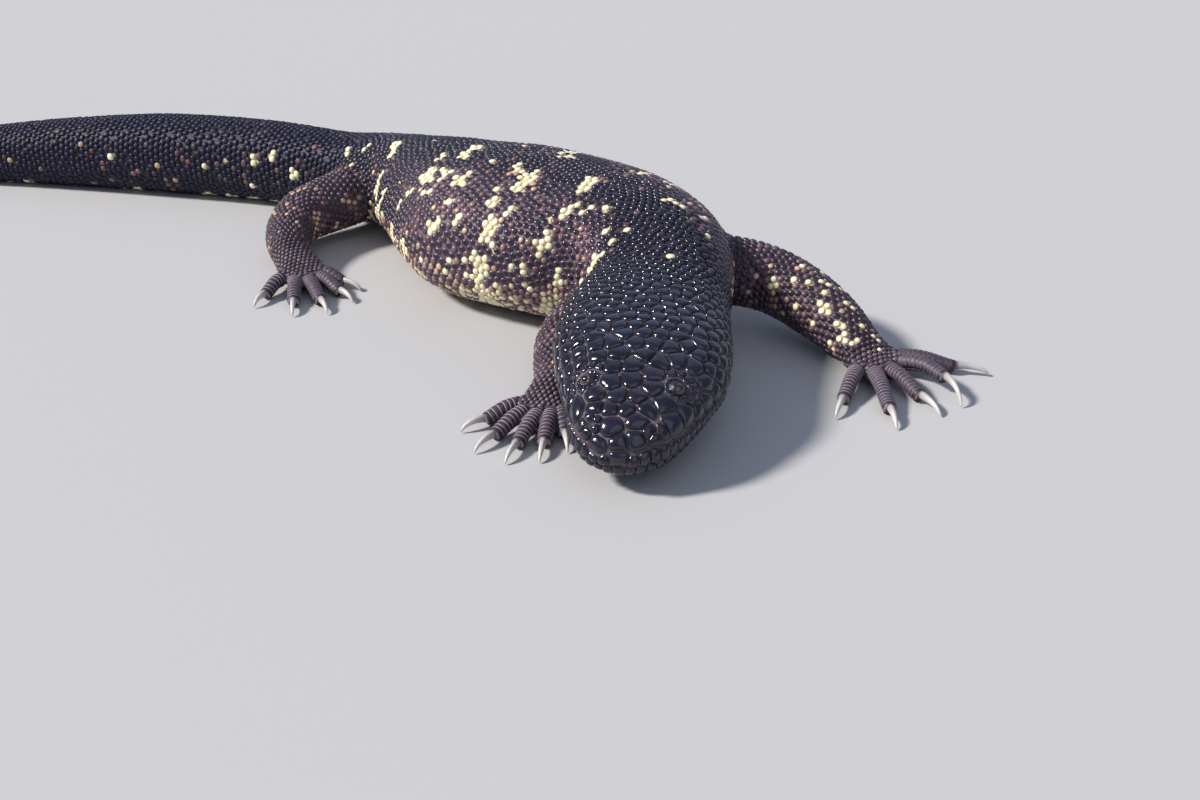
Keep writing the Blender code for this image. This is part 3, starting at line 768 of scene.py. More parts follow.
def spacing_at(marks, heights):
    """How far apart scales stand: wide on the snout, even on the trunk, small on the feet."""
    part, lengths = marks[:, 0], marks[:, 1]
    body = np.interp(lengths, SPACING[:, 0], SPACING[:, 1])
    jaw = smooth_step(22.0, 12.0, heights) * smooth_step(80.0, 66.0, lengths)
    body = body * (1.0 - 0.3 * jaw)
    under = smooth_step(110.0, 150.0, lengths) * smooth_step(7.0, 2.5, heights)
    body = body * (1.0 + 0.38 * under)
    limb = np.interp(lengths, [20.0, 60.0, 84.0, 98.0, 110.0], [3.1, 3.2, 3.0, 2.5, 2.2])
    short = np.interp(lengths, [20.0, 50.0, 66.0, 90.0], [3.1, 3.0, 2.5, 2.2])
    limb = np.where(part == 1, limb, short)
    return np.where(part == PART_BODY, body, np.where(part < PART_TOES, limb, 1.9))


sites = []
site_gap = []
site_fixed = []
site_cells = {}
# Width of the cubes of the search grid, and how near two scales may stand, as a share of their gap.
CUBE = 8.0
NEAREST = 0.66


def cell_of(point):
    """The cube of the search grid that holds a place."""
    return tuple(int(v // CUBE) for v in point)


def settle(point, gap, fixed=False, crowd=NEAREST):
    """Keeps a scale's place unless another stands too near."""
    cell = cell_of(point)
    for dx in (-1, 0, 1):
        for dy in (-1, 0, 1):
            for dz in (-1, 0, 1):
                for other in site_cells.get((cell[0] + dx, cell[1] + dy, cell[2] + dz), ()):
                    reach = crowd * 0.5 * (gap + site_gap[other])
                    if sum((a - b) ** 2 for a, b in zip(sites[other], point)) < reach * reach:
                        return
    site_cells.setdefault(cell, []).append(len(sites))
    sites.append(tuple(point))
    site_gap.append(gap)
    site_fixed.append(fixed)


def settle_on_hide(point, reach, gap, fixed=False, crowd=NEAREST):
    """Moves a place onto the hide, if the hide is within reach of it, and settles a scale there."""
    found = skin_tree.find_nearest(Vector(point), reach)[0]
    if found is not None:
        settle(np.array(found), gap, fixed, crowd)


def face_axes(length, side, out, up, ahead):
    """Which way a spot on the side of the face looks, with two ways across it."""
    _, way, _ = body_frame(np.array([length]))
    sign = 1.0 if side == "left" else -1.0
    back = np.array([way[0, 0], way[0, 1], 0.0])
    facing = unit(np.array([way[0, 1] * sign * out, -way[0, 0] * sign * out, up]) - back * ahead)
    back = unit(back - facing * (back @ facing))
    over = np.cross(facing, back)
    return facing, back, over * math.copysign(1.0, over[2])


# Named scales of the face: two rings round each eye, with their radius, number, width and turn.
EYE_RINGS = ((3.9, 13, 1.9, 0.0), (6.0, 12, 3.1, 0.5))
for side, place in EYES.items():
    facing, back, over = face_axes(EYE_ALONG, side, 0.6, 0.8, 0.0)
    for radius, number, gap, shift in EYE_RINGS:
        for k in range(number):
            turn = 2.0 * math.pi * (k + shift) / number
            way = back * (1.08 * math.cos(turn)) + over * (0.92 * math.sin(turn))
            settle_on_hide(place + facing + way * radius, 6.0, gap, True)
# Shields of the snout: length, distance to the animal's left, and width.
SNOUT_SHIELDS = (
    (6.0, -4.1, 8.4), (8.4, 4.8, 6.6), (3.6, 5.4, 6.2), (8.2, 11.0, 6.0), (11.9, -5.0, 6.2),
    (12.3, 0.6, 6.2), (16.6, -3.7, 6.6), (17.2, 3.2, 6.4), (13.6, 7.4, 6.0), (12.8, -11.0, 6.0),
)
for along, aside, gap in SNOUT_SHIELDS:
    sizes = body_frame(np.array([along]))[2][0]
    flat = (abs(aside) / sizes[1]) ** (1.0 / SQUARENESS)
    rise = sizes[2] * max(1.0 - flat * flat, 0.0) ** (SQUARENESS / 2.0)
    settle_on_hide(head_place(along, aside, sizes[0] + rise), 4.0, gap, True, 0.6)
# The middle scale of each lip, then five round each nostril.
settle_on_hide(head_place(0.4, 0.0, 14.8), 4.0, 6.0, True, 0.6)
settle_on_hide(head_place(1.2, 0.0, 8.9), 4.0, 5.4, True, 0.6)
for side, place in NOSTRILS.items():
    _, back, over = face_axes(8.6, side, 0.6, 0.45, 0.66)
    for k in range(5):
        turn = 2.0 * math.pi * (k + 0.25) / 5.0
        way = back * math.cos(turn) + over * math.sin(turn)
        settle_on_hide(place + way * 3.1, 5.0, 3.6, True)
# The rest of the lips, from the middle back: height over the mouth's line, and width.
for above, gap in ((2.3, 4.6), (-2.2, 4.4)):
    for sign in (1.0, -1.0):
        along = 0.0 if above > 0.0 else 1.2
        while along < MOUTH_CORNER + 2.0:
            sizes = body_frame(np.array([along]))[2][0]
            height = mouth_height(along) + above
            drop = (height - sizes[0]) / (sizes[2] if height > sizes[0] else sizes[3])
            aside = sizes[1] * max(1.0 - abs(drop) ** (2.0 / SQUARENESS), 0.0) ** (SQUARENESS / 2.0)
            settle_on_hide(head_place(along, sign * aside, height), 5.0, gap, True, 0.8)
            along += 0.4

# Rows round the body, slanting back on the trunk, each begun at the spine and jostled a little.
FIRST_ROW = 90.0
ROW_SLANT = 14.0
ROW_PITCH, LIMB_ROW_PITCH = 0.88, 0.9
JOSTLE_ROUND, JOSTLE_FLAT = 0.25, 0.22
BODY_TURNS, LIMB_TURNS = 361, 121
chance = np.random.default_rng(7)
length = FIRST_ROW
row = 0
angles = np.linspace(0.5 * math.pi, 2.5 * math.pi, BODY_TURNS)
while length < BODY_LENGTH - 0.8:
    slanting = ROW_SLANT * float(smooth_step(95.0, 130.0, length) * smooth_step(345.0, 285.0, length))
    lengths = length + slanting * (1.0 - np.sin(angles))
    ring = body_points(lengths, angles, -BEAD_DEPTH)
    marks = np.stack([np.zeros(BODY_TURNS), lengths, np.zeros(BODY_TURNS), angles], 1)
    gaps = spacing_at(marks, ring[:, 2])
    share = running_total(np.linalg.norm(np.diff(ring, axis=0), axis=1) / gaps[1:])
    number = max(int(round(share[-1])), 3)
    wanted = (np.arange(number) + 0.5 * (row % 2)) * share[-1] / number
    wanted = (wanted + chance.uniform(-JOSTLE_ROUND, JOSTLE_ROUND, number)) % share[-1]
    order = sorted(wanted, key=lambda v: min(v, share[-1] - v))
    for value in order:
        at = np.array([np.interp(value, share, ring[:, k]) for k in range(3)])
        gap = float(np.interp(value, share, gaps))
        at[:2] += chance.uniform(-JOSTLE_FLAT, JOSTLE_FLAT, 2) * gap
        settle_on_hide(at, 4.5, gap)
    length += ROW_PITCH * float(np.interp(length, SPACING[:, 0], SPACING[:, 1]))
    row += 1
# Rows round each limb, every other one shifted by half a bead.
angles = np.linspace(0.5 * math.pi, 2.5 * math.pi, LIMB_TURNS)
LIMB_STEP = 0.5
for limb, rows in LIMBS.items():
    run, at = limb_run(rows, LIMB_STEP)
    rings = tube_points(run, angles, -LIMB_DEPTH)
    length = 4.0
    while length < at[-1] + 2.0:
        ring = rings[min(int(length / LIMB_STEP), len(run) - 1)]
        marks = np.array([[LIMB_PARTS[limb], length, 0.0, 0.0]])
        gap = float(spacing_at(marks, np.array([20.0]))[0])
        share = running_total(np.linalg.norm(np.diff(ring, axis=0), axis=1))
        number = max(int(round(share[-1] / gap)), 3)
        for j in range(number):
            value = (j + 0.5 * (row % 2)) * share[-1] / number
            point = np.array([np.interp(value, share, ring[:, c]) for c in range(3)])
            settle_on_hide(point, 2.2, gap)
        length += LIMB_ROW_PITCH * gap
        row += 1


def hand_marks(points, marks):
    """Marks of the limb for places on the roots of its toes, which count as the back of a hand."""
    marks = marks.copy()
    on_toe = np.nonzero(marks[:, 0] == PART_TOES)[0]
    for limb, rows in LIMBS.items():
        run, at = limb_run(rows, 1.0)
        ahead = unit((run[-1, :3] - run[-4, :3]) * (1.0, 1.0, 0.0))
        offset = points[on_toe] - run[-1, :3]
        mine = on_toe[np.linalg.norm(offset, axis=1) < 26.0]
        offset = points[mine] - run[-1, :3]
        marks[mine, 0] = LIMB_PARTS[limb]
        marks[mine, 1] = at[-1] + offset @ ahead
        marks[mine, 2] = offset[:, 1] * ahead[0] - offset[:, 0] * ahead[1]
        marks[mine, 3] = np.where(points[mine, 2] > 5.0, 0.5, 1.5) * math.pi
    return marks


def bare_places(tries, crowd):
    """Fills the bare places of body, limbs and roots of toes with more scales."""
    corners = np.array([tuple(p.vertices)[:3] for p in skin_mesh.polygons])
    pick = chance.integers(0, len(corners), tries)
    mix = chance.dirichlet((1.0, 1.0, 1.0), tries)
    trial = (hide[corners[pick]] * mix[..., None]).sum(axis=1)
    trial_marks = chart_of(trial)
    fits = (trial_marks[:, 0] < PART_TOES) | (trial_marks[:, 1] < 4.0)
    trial, trial_marks = trial[fits], hand_marks(trial[fits], trial_marks[fits])
    trial_gap = spacing_at(trial_marks, trial[:, 2])
    for k in range(len(trial)):
        settle(trial[k], float(trial_gap[k]), False, crowd)


def neighbours_of(points, number):
    """For each point, the places in the list of its nearest few others."""
    tree = tree_of(points)
    return np.array([[found[1] for found in tree.find_n(point, number + 1)[1:]] for point in points])


# Bare places are filled, all but the named scales push each other even, and then once more. None
# stands in an eye or a nostril. Each pass has its tries, how near scales may stand, and its pushes.
PASSES = ((60000, 0.86, 5), (40000, 0.80, 6))
# The distance they are pushed to, how hard, and the longest move, in mm.
EVEN_SHARE, PUSH_SHARE, LONGEST_MOVE = 0.53, 0.28, 0.8
for tries, crowd, turns in PASSES:
    bare_places(tries, crowd)
    places = np.array(sites)
    keep = np.ones(len(places), bool)
    for pair, clear in ((EYES, 3.2), (NOSTRILS, 1.9)):
        for place in pair.values():
            keep &= np.linalg.norm(places - place, axis=1) > clear
    places, fixed, named_gap = places[keep], np.array(site_fixed)[keep], np.array(site_gap)[keep]
    for turn in range(turns):
        if turn % 3 == 0:
            marks = hand_marks(places, chart_of(places))
            gaps = np.where(fixed, named_gap, spacing_at(marks, places[:, 2]))
        near = neighbours_of(places, 7)
        offset = places[:, None] - places[near]
        distance = np.linalg.norm(offset, axis=2)
        wish = EVEN_SHARE * (gaps[:, None] + gaps[near])
        push = (np.maximum(wish - distance, 0.0) / distance)[..., None] * offset
        move = np.clip(push.sum(axis=1) * PUSH_SHARE, -LONGEST_MOVE, LONGEST_MOVE)
        moved = places + move * ~fixed[:, None]
        snapped = [skin_tree.find_nearest(Vector(point)) for point in moved]
        places = np.array([tuple(found[0]) for found in snapped])
        facing = np.array([tuple(found[1]) for found in snapped])
    marks = hand_marks(places, chart_of(places))
    gaps = np.where(fixed, named_gap, spacing_at(marks, places[:, 2]))
    sites[:] = [tuple(place) for place in places]
    site_gap[:] = gaps.tolist()
    site_fixed[:] = fixed.tolist()
    site_cells.clear()
    for i, place in enumerate(sites):
        site_cells.setdefault(cell_of(place), []).append(i)


def headings_of(marks):
    """The way from snout to tail, or from shoulder to knuckles, at each mark."""
    part, lengths = marks[:, 0], marks[:, 1]
    _, way, _ = body_frame(lengths)
    ways = np.concatenate([way, np.zeros((len(way), 1))], axis=1)
    for limb, rows in LIMBS.items():
        mine = part == LIMB_PARTS[limb]
        run, at = limb_run(rows, 1.0)
        ahead = tube_frame(run[:, :3])[0]
        ways[mine] = np.stack([np.interp(lengths[mine], at, ahead[:, k]) for k in range(3)], 1)
    return ways


def frames_of(facing, ways):
    """Two ways across each scale: the first nearest its heading, the second square to it."""
    along = unit(ways - facing * np.sum(ways * facing, axis=1)[:, None])
    return along, np.cross(facing, along)


def reach_of(points, facing, along, across, gaps, turns, power, most):
    """How far each scale reaches every way before it meets its neighbours, or up to its most.

    A higher power gives straighter edges between one neighbour and the next.
    """
    near = neighbours_of(points, 12)
    offset = points[near] - points[:, None]
    far = np.linalg.norm(offset, axis=2)
    flat = unit(offset - facing[:, None] * np.sum(offset * facing[:, None], axis=2)[..., None])
    half = far * gaps[:, None] / (gaps[:, None] + gaps[near])
    ways = along[:, None] * np.cos(turns)[:, None] + across[:, None] * np.sin(turns)[:, None]
    toward = np.maximum(np.einsum("nkc,njc->nkj", ways, flat), 0.0)
    total = np.sum((toward / half[:, None]) ** power, axis=2)
    return np.minimum(np.maximum(total, 1e-30) ** (-1.0 / power), most[:, None])


# The body's length and the half width of one scale's patch, as shares of the map.
FLAT_LENGTH = 0.94
PATCH_SIZE = 0.0015


def unwrap_of(marks):
    """Where each place lies when the hide is slit along the belly and laid flat, from 0 to 1."""
    part, lengths, girths, _ = marks.T
    flat = FLAT_LENGTH / BODY_LENGTH
    on_limb = (part >= 1) & (part < PART_TOES)
    across = np.where(on_limb, 0.05 + 0.24 * (part - 1.0) + lengths * flat, 0.03 + lengths * flat)
    down = np.where(on_limb, 0.56, 0.22) + girths * flat
    return np.stack([across, down, np.zeros(len(part))], 1)


def bake_map(mesh):
    """Gives each scale its own small patch at its root's place on the flat hide."""
    count = len(mesh.vertices)
    root, patch = np.empty(count * 3), np.empty(count * 3)
    mesh.attributes["root"].data.foreach_get("vector", root)
    mesh.attributes["patch"].data.foreach_get("vector", patch)
    spot = (root + patch * PATCH_SIZE).reshape(-1, 3)[:, :2]
    corner = np.empty(len(mesh.loops), int)
    mesh.loops.foreach_get("vertex_index", corner)
    flat = spot[corner]
    first, total = np.empty(len(mesh.polygons), int), np.empty(len(mesh.polygons), int)
    mesh.polygons.foreach_get("loop_start", first)
    mesh.polygons.foreach_get("loop_total", total)
    for start, number in zip(first[total > 4].tolist(), total[total > 4].tolist()):
        flat[start : start + number] = flat[start]
    layer = mesh.uv_layers.new(name="OFBake")
    layer.uv.foreach_set("vector", flat.ravel())
    for name in ("root", "patch"):
        mesh.attributes.remove(mesh.attributes[name])


ways = headings_of(marks)
along, across = frames_of(facing, ways)
cream, brown, net = markings(marks, places[:, 2])
luck = chance.random((len(places), 3))
# Each bead is wholly cream or not, with a few stray cream ones low on the flank.
on_flank = (marks[:, 0] == PART_BODY) * smooth_step(104.0, 118.0, marks[:, 1])
on_flank = on_flank * smooth_step(320.0, 300.0, marks[:, 1]) * (places[:, 2] > 4.0)
stray = 0.45 * on_flank * smooth_step(28.0, 20.0, places[:, 2]) * (luck[:, 1] > 0.80)
is_cream = (cream + stray + 0.08 * (luck[:, 0] - 0.5) > 0.40).astype(float)
is_brown = np.clip((brown - luck[:, 1]) * 2.6 + 0.35, 0.0, 1.0) * (0.45 + 0.55 * luck[:, 2])
# Where each limb ends: its last beads take the paler horn of hands and feet.
on_limb = marks[:, 0] > 0.5
LIMB_ENDS = {1: 104.0, 2: 76.0, 3: 84.0, 4: 92.0}
limb_end = np.array([LIMB_ENDS.get(int(part), 1.0) for part in marks[:, 0]])
on_hand = on_limb * smooth_step(limb_end - 14.0, limb_end - 4.0, marks[:, 1])
PLATES_END = 100.0
on_head = (marks[:, 0] == PART_BODY) & (marks[:, 1] < PLATES_END)

# The plates themselves: rounded polygons fitted to their neighbours, in rings of a share of the
# plate's reach and a share of its height. A wide plate stands taller, up to the tallest.
PLATE_TALLEST = 1.5
PLATE_SIDES = 18
PLATE_RINGS = ((1.0, -0.3), (1.0, 0.10), (0.94, 0.42), (0.75, 0.75), (0.42, 0.94))
turns = ring_angles(PLATE_SIDES)
most = 0.66 * gaps + 1.8
reach = reach_of(places, facing, along, across, gaps, turns, power=15.0, most=most)
rows = np.nonzero(on_head)[0]
plate_points = []
plate_faces = []
plate_dome = []
plate_patch = []
for i in rows:
    start = len(plate_points)
    seam = 0.06 + 0.010 * gaps[i]
    tall = min(0.62 + 0.14 * gaps[i], PLATE_TALLEST)
    rim = []
    for k in range(PLATE_SIDES):
        way = along[i] * math.cos(turns[k]) + across[i] * math.sin(turns[k])
        edge = places[i] + way * max(reach[i, k] - seam, 0.3)
        found = skin_tree.find_nearest(Vector(edge), 4.0)
        rim.append(edge if found[0] is None else 0.12 * edge + 0.88 * np.array(found[0]))
    for size, lift in PLATE_RINGS:
        for k in range(PLATE_SIDES):
            point = places[i] + (rim[k] - places[i]) * size
            plate_points.append(point + facing[i] * (lift if lift < 0.0 else lift * tall))
            plate_dome.append(max(lift, 0.0))
            plate_patch.append((math.cos(turns[k]) * size, math.sin(turns[k]) * size, 0.0))
    plate_points.append(places[i] + facing[i] * tall)
    plate_dome.append(1.0)
    plate_patch.append((0.0, 0.0, 0.0))
    top = start + len(PLATE_RINGS) * PLATE_SIDES
    last = top - PLATE_SIDES
    plate_faces += grid_faces(len(PLATE_RINGS), PLATE_SIDES, start)[:-1]
    plate_faces += [(last + k, last + (k + 1) % PLATE_SIDES, top) for k in range(PLATE_SIDES)]
PLATE_LOW = 0.05
plate_points = np.array(plate_points)
plate_points[:, 2] = np.maximum(plate_points[:, 2], PLATE_LOW)
head_plates = mesh_object("head_plates", plate_points, plate_faces)
each = len(PLATE_RINGS) * PLATE_SIDES + 1
give(head_plates.data, "dome", plate_dome)
give(head_plates.data, "patch", plate_patch, "FLOAT_VECTOR")
give(head_plates.data, "root", np.repeat(unwrap_of(marks[rows]), each, axis=0), "FLOAT_VECTOR")
give(head_plates.data, "chance", np.repeat(luck[rows, 2], each))
bake_map(head_plates.data)
head_plates.data.shade_smooth()

PLATE_DARKEST = (0.0042, 0.0046, 0.0112)
PLATE_DARK = (0.0112, 0.0102, 0.0240)
PLATE_CLOUD = (0.030, 0.018, 0.030)
PLATE_SEAM = (0.092, 0.064, 0.084)
plate_finish, wire, shader = finish_for("polished head plates")
dome = wire.attribute("dome")
pits = wire.noise(3200.0)
cloud = wire.noise(240.0)
bone = wire.attribute("chance").mixed(PLATE_DARKEST, PLATE_DARK)
bone = (cloud.between(0.5, 0.75) * 0.35).mixed(bone, PLATE_CLOUD)
bone = (1 - dome.between(0.04, 0.34)).mixed(bone, PLATE_SEAM)
rough = 0.12 + 0.10 * pits + 0.16 * (1 - dome.between(0.1, 0.6))
plug(shader, Base_Color=bone, Roughness=rough, Normal=pits.relief(0.14, 0.0002))
plug(shader, Coat_Weight=0.35, Coat_Roughness=0.08)
head_plates.data.materials.append(plate_finish)
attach(head_plates, "root")

# Eyes. Small dark wet balls with a round pupil and a thin brown iris, set deep in their sockets.
# Each is one closed ball of rings, a little fuller over the pupil.
EYE_RADIUS = 2.95
EYE_LOOK = (0.66, 0.7, 0.4)
EYE_DEGREES = (4, 9, 15, 20, 24, 29, 36, 46, 60, 80, 105, 135, 160, 174)
EYE_SIDES = 24
ball_points = []
ball_faces = []
ball_reach = []
for side, place in EYES.items():
    facing_eye, back, over = face_axes(EYE_ALONG, side, *EYE_LOOK)
    start = len(ball_points)
    for degrees in EYE_DEGREES:
        polar = math.radians(degrees)
        radius = EYE_RADIUS * (1.0 + 0.045 * smooth_step(0.62, 0.2, polar))
        for turn in ring_angles(EYE_SIDES):
            way = back * math.cos(turn) + over * math.sin(turn)
            ball_points.append(place + radius * (facing_eye * math.cos(polar) + way * math.sin(polar)))
            ball_reach.append(degrees)
    ball_faces += grid_faces(len(EYE_DEGREES), EYE_SIDES, start)
eyes = mesh_object("eyes", np.array(ball_points), ball_faces)
face_outward(eyes.data)
give(eyes.data, "polar", ball_reach)
eyes.data.shade_smooth()
PUPIL = (0.002, 0.002, 0.002)
IRIS_DARK = (0.007, 0.004, 0.003)
IRIS_LIGHT = (0.026, 0.014, 0.008)
EYE_WHITE = (0.030, 0.022, 0.022)
eye_finish, wire, shader = finish_for("wet dark eye")
polar = wire.attribute("polar")
iris = wire.noise(5200.0, 4.0).between(0.35, 0.7).mixed(IRIS_DARK, IRIS_LIGHT)
colour = polar.between(15.0, 17.5).mixed(PUPIL, iris)
colour = polar.between(31.0, 36.0).mixed(colour, EYE_WHITE)
plug(shader, Base_Color=colour, Roughness=0.06, Coat_Weight=1.0, Coat_Roughness=0.02)
eyes.data.materials.append(eye_finish)
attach(eyes, "root")
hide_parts("eye_left", "eye_right")

# Eyelids. Thick leathery lids close over each ball to an almond slit, paler along their wet edges.
# Each pair is one closed band round its slit, from the edge out to the rim of the socket and back.
LID_SIDES = 40
SLIT_LONG, SLIT_TALL, LID_MOST = 50.0, 38.0, 106.0
# The band's section: degrees out from the slit, distance from the ball's middle, and how pale.
LID_PROFILE = (
    (0.0, 3.00, 1.0), (0.5, 3.10, 1.0), (3.0, 3.20, 0.8), (7.0, 3.26, 0.0), (20.0, 3.38, 0.0),
    (36.0, 3.56, 0.0), (58.0, 3.9, 0.0), (66.0, 3.0, 0.0), (20.0, 2.8, 0.0), (4.0, 2.93, 0.6),
)
lid_points = []
lid_faces = []
lid_rim = []
for side, place in EYES.items():
    facing_eye, back, over = face_axes(EYE_ALONG, side, *EYE_LOOK)
    start = len(lid_points)
    for turn in ring_angles(LID_SIDES):
        slit = 1.0 / math.hypot(math.cos(turn) / SLIT_LONG, math.sin(turn) / SLIT_TALL)
        way = back * math.cos(turn) + over * math.sin(turn)
        for more, radius, rim in LID_PROFILE:
            polar = math.radians(min(slit + more, LID_MOST))
            lid_points.append(place + radius * (facing_eye * math.cos(polar) + way * math.sin(polar)))
            lid_rim.append(rim)
    count = len(LID_PROFILE)
    for k in range(LID_SIDES):
        for j in range(count):
            one, two = start + k * count, start + ((k + 1) % LID_SIDES) * count
            lid_faces.append((one + j, one + (j + 1) % count, two + (j + 1) % count, two + j))
eyelids = mesh_object("eyelids", np.array(lid_points), lid_faces)
face_outward(eyelids.data)
give(eyelids.data, "rim", lid_rim)
eyelids.data.shade_smooth()
LID_DARKEST = (0.0045, 0.0040, 0.0085)
LID_DARK = (0.016, 0.012, 0.021)
LID_EDGE = (0.072, 0.050, 0.054)
lid_finish, wire, shader = finish_for("leathery eyelid")
grains = wire.node("ShaderNodeTexVoronoi", {}, {"Vector": wire.place(), "Scale": 1250.0})
colour = grains.between(0.2, 0.6).mixed(LID_DARKEST, LID_DARK)
colour = (wire.attribute("rim") * 0.7).mixed(colour, LID_EDGE)
plug(shader, Base_Color=colour, Roughness=0.34, Normal=(1 - grains).relief(0.7, 0.0003))
eyelids.data.materials.append(lid_finish)
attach(eyelids, "root")

# Beads. From the nape back the hide is paved with round bony beads, a grain of bone in each, set
# in slanting rows. One bead shape is laid on every site, turned to the hide and sized to its cell.
def unit_scale(name, profile, square, sides=8):
    """A domed scale one metre in radius, to be laid at its own size on the hide."""
    turns = ring_angles(sides)
    wide = (np.abs(np.cos(turns)) ** square + np.abs(np.sin(turns)) ** square) ** (-1.0 / square)
    points = [
        (math.cos(a) * w * size, math.sin(a) * w * size, lift)
        for size, lift in profile
        for a, w in zip(turns, wide)
    ]
    points.append((0.0, 0.0, 1.0))
    faces = grid_faces(len(profile), sides)[:-1]
    last = (len(profile) - 1) * sides
    faces += [(last + k, last + (k + 1) % sides, len(points) - 1) for k in range(sides)]
    mesh = bpy.data.meshes.new(name)
    mesh.from_pydata(points, [], faces)
    give(mesh, "patch", [(x, y, 0.0) for x, y, _ in points], "FLOAT_VECTOR")
    give(mesh, "dome", [max(z, 0.0) for _, _, z in points])
    mesh.shade_smooth()
    thing = bpy.data.objects.new(name, mesh)
    bpy.context.scene.collection.objects.link(thing)
    return thing


def scale_field_tree():
    """Nodes that lay one scale shape on points by their facing, heading and reach."""
    tree = bpy.data.node_groups.new("scales on a hide", "GeometryNodeTree")
    inputs = {"Hide points": "Geometry", "Scale shape": "Object", "Finish": "Material"}
    inputs |= {"Tilt": "Float", "Unevenness": "Float", "Seed": "Int"}
    for name, kind in inputs.items():
        tree.interface.new_socket(name, in_out="INPUT", socket_type="NodeSocket" + kind)
    tree.interface.new_socket("Scales", in_out="OUTPUT", socket_type="NodeSocketGeometry")

    def add(kind, settings=(), links=()):
        node = tree.nodes.new(kind)
        for name, value in dict(settings).items():
            setattr(node, name, value)
        for name, value in dict(links).items():
            if isinstance(value, bpy.types.NodeSocket):
                tree.links.new(value, node.inputs[name])
            else:
                node.inputs[name].default_value = value
        return node

    def named(name):
        node = add("GeometryNodeInputNamedAttribute", {"data_type": "FLOAT_VECTOR"}, {"Name": name})
        return node.outputs["Attribute"]

    given = add("NodeGroupInput").outputs
    axes = {"primary_axis": "Z", "secondary_axis": "X"}
    upright = add("FunctionNodeAxesToRotation", axes, {0: named("facing"), 1: named("heading")})
    less = add("ShaderNodeMath", {"operation": "MULTIPLY"}, {0: given["Tilt"], 1: -1.0})
    lean = add("FunctionNodeRandomValue", {"data_type": "FLOAT_VECTOR"}, {"Seed": given["Seed"]})
    tree.links.new(less.outputs[0], lean.inputs["Min"])
    tree.links.new(given["Tilt"], lean.inputs["Max"])
    lean_turn = add("FunctionNodeEulerToRotation", (), {0: lean.outputs["Value"]})
    both = {0: upright.outputs[0], 1: lean_turn.outputs[0]}
    turned = add("FunctionNodeRotateRotation", {"rotation_space": "LOCAL"}, both)
    smaller = add("ShaderNodeMath", {"operation": "SUBTRACT"}, {0: 1.0, 1: given["Unevenness"]})
    sizes = add("FunctionNodeRandomValue", {"data_type": "FLOAT"}, {"Seed": given["Seed"]})
    tree.links.new(smaller.outputs[0], sizes.inputs[2])
    sizes.inputs[3].default_value = 1.0
    reach_here = {0: named("reach"), "Scale": sizes.outputs[1]}
    size = add("ShaderNodeVectorMath", {"operation": "SCALE"}, reach_here)
    shape = add("GeometryNodeObjectInfo", (), {"Object": given["Scale shape"]})
    laid = add(
        "GeometryNodeInstanceOnPoints",
        (),
        {
            "Points": given["Hide points"],
            "Instance": shape.outputs["Geometry"],
            "Rotation": turned.outputs[0],
            "Scale": size.outputs[0],
        },
    )
    real = add("GeometryNodeRealizeInstances", (), {"Geometry": laid.outputs[0]})
    coat = {"Geometry": real.outputs[0], "Material": given["Finish"]}
    finished = add("GeometryNodeSetMaterial", (), coat)
    add("NodeGroupOutput", (), {0: finished.outputs[0]})
    return tree


SCALE_FIELD = scale_field_tree()
SCALE_LOW = 0.04


def lay_scales(name, rows, shape, finish, seed, heights, tilt=0.08, uneven=0.11):
    """Lays the scale shape on the chosen sites and makes them one mesh."""
    field = mesh_object(name, places[rows], [])
    size = np.stack([bead_reach[rows, 0], bead_reach[rows, 1], heights], 1) * MM
    vectors = {"facing": facing, "heading": along, "root": unwrap_of(marks)}
    for kind, values in vectors.items():
        give(field.data, kind, values[rows], "FLOAT_VECTOR")
    give(field.data, "reach", size, "FLOAT_VECTOR")
    numbers = {"cream": is_cream, "brown": is_brown, "net": net, "limb": on_limb, "hand": on_hand}
    numbers |= {"chance": luck[:, 2], "shine": smooth_step(215.0, 150.0, marks[:, 1]) * on_body}
    for kind, values in numbers.items():
        give(field.data, kind, values[rows])
    laying = field.modifiers.new("laying", "NODES")
    laying.node_group = SCALE_FIELD
    values = {"Scale shape": shape, "Finish": finish, "Tilt": tilt, "Unevenness": uneven, "Seed": seed}
    for item in SCALE_FIELD.interface.items_tree:
        if item.in_out == "INPUT" and item.name in values:
            laying[item.identifier] = values[item.name]
    depsgraph = bpy.context.evaluated_depsgraph_get()
    mesh = bpy.data.meshes.new_from_object(
        field.evaluated_get(depsgraph), preserve_all_data_layers=True, depsgraph=depsgraph
    )
    field.modifiers.clear()
    field.data = mesh
    points = points_of(mesh)
    points[:, 2] = np.maximum(points[:, 2], SCALE_LOW)
    write_points(mesh, points)
    bake_map(mesh)
    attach(field, "root")


# Horn of the beads away from the dark back, where there are two between their darkest and palest.
LIMB_HORN = (0.034, 0.014, 0.017)
HAND_HORN = ((0.052, 0.035, 0.047), (0.125, 0.084, 0.106))
BROWN_HORN = ((0.115, 0.056, 0.060), (0.215, 0.115, 0.118))
TAN_HORN = ((0.38, 0.210, 0.130), (0.62, 0.42, 0.24))
CREAM_HORN = ((0.76, 0.69, 0.42), (0.86, 0.82, 0.58))
CREAM_SMEAR = (0.70, 0.50, 0.28)
CREAM_FOOT = (0.40, 0.19, 0.13)


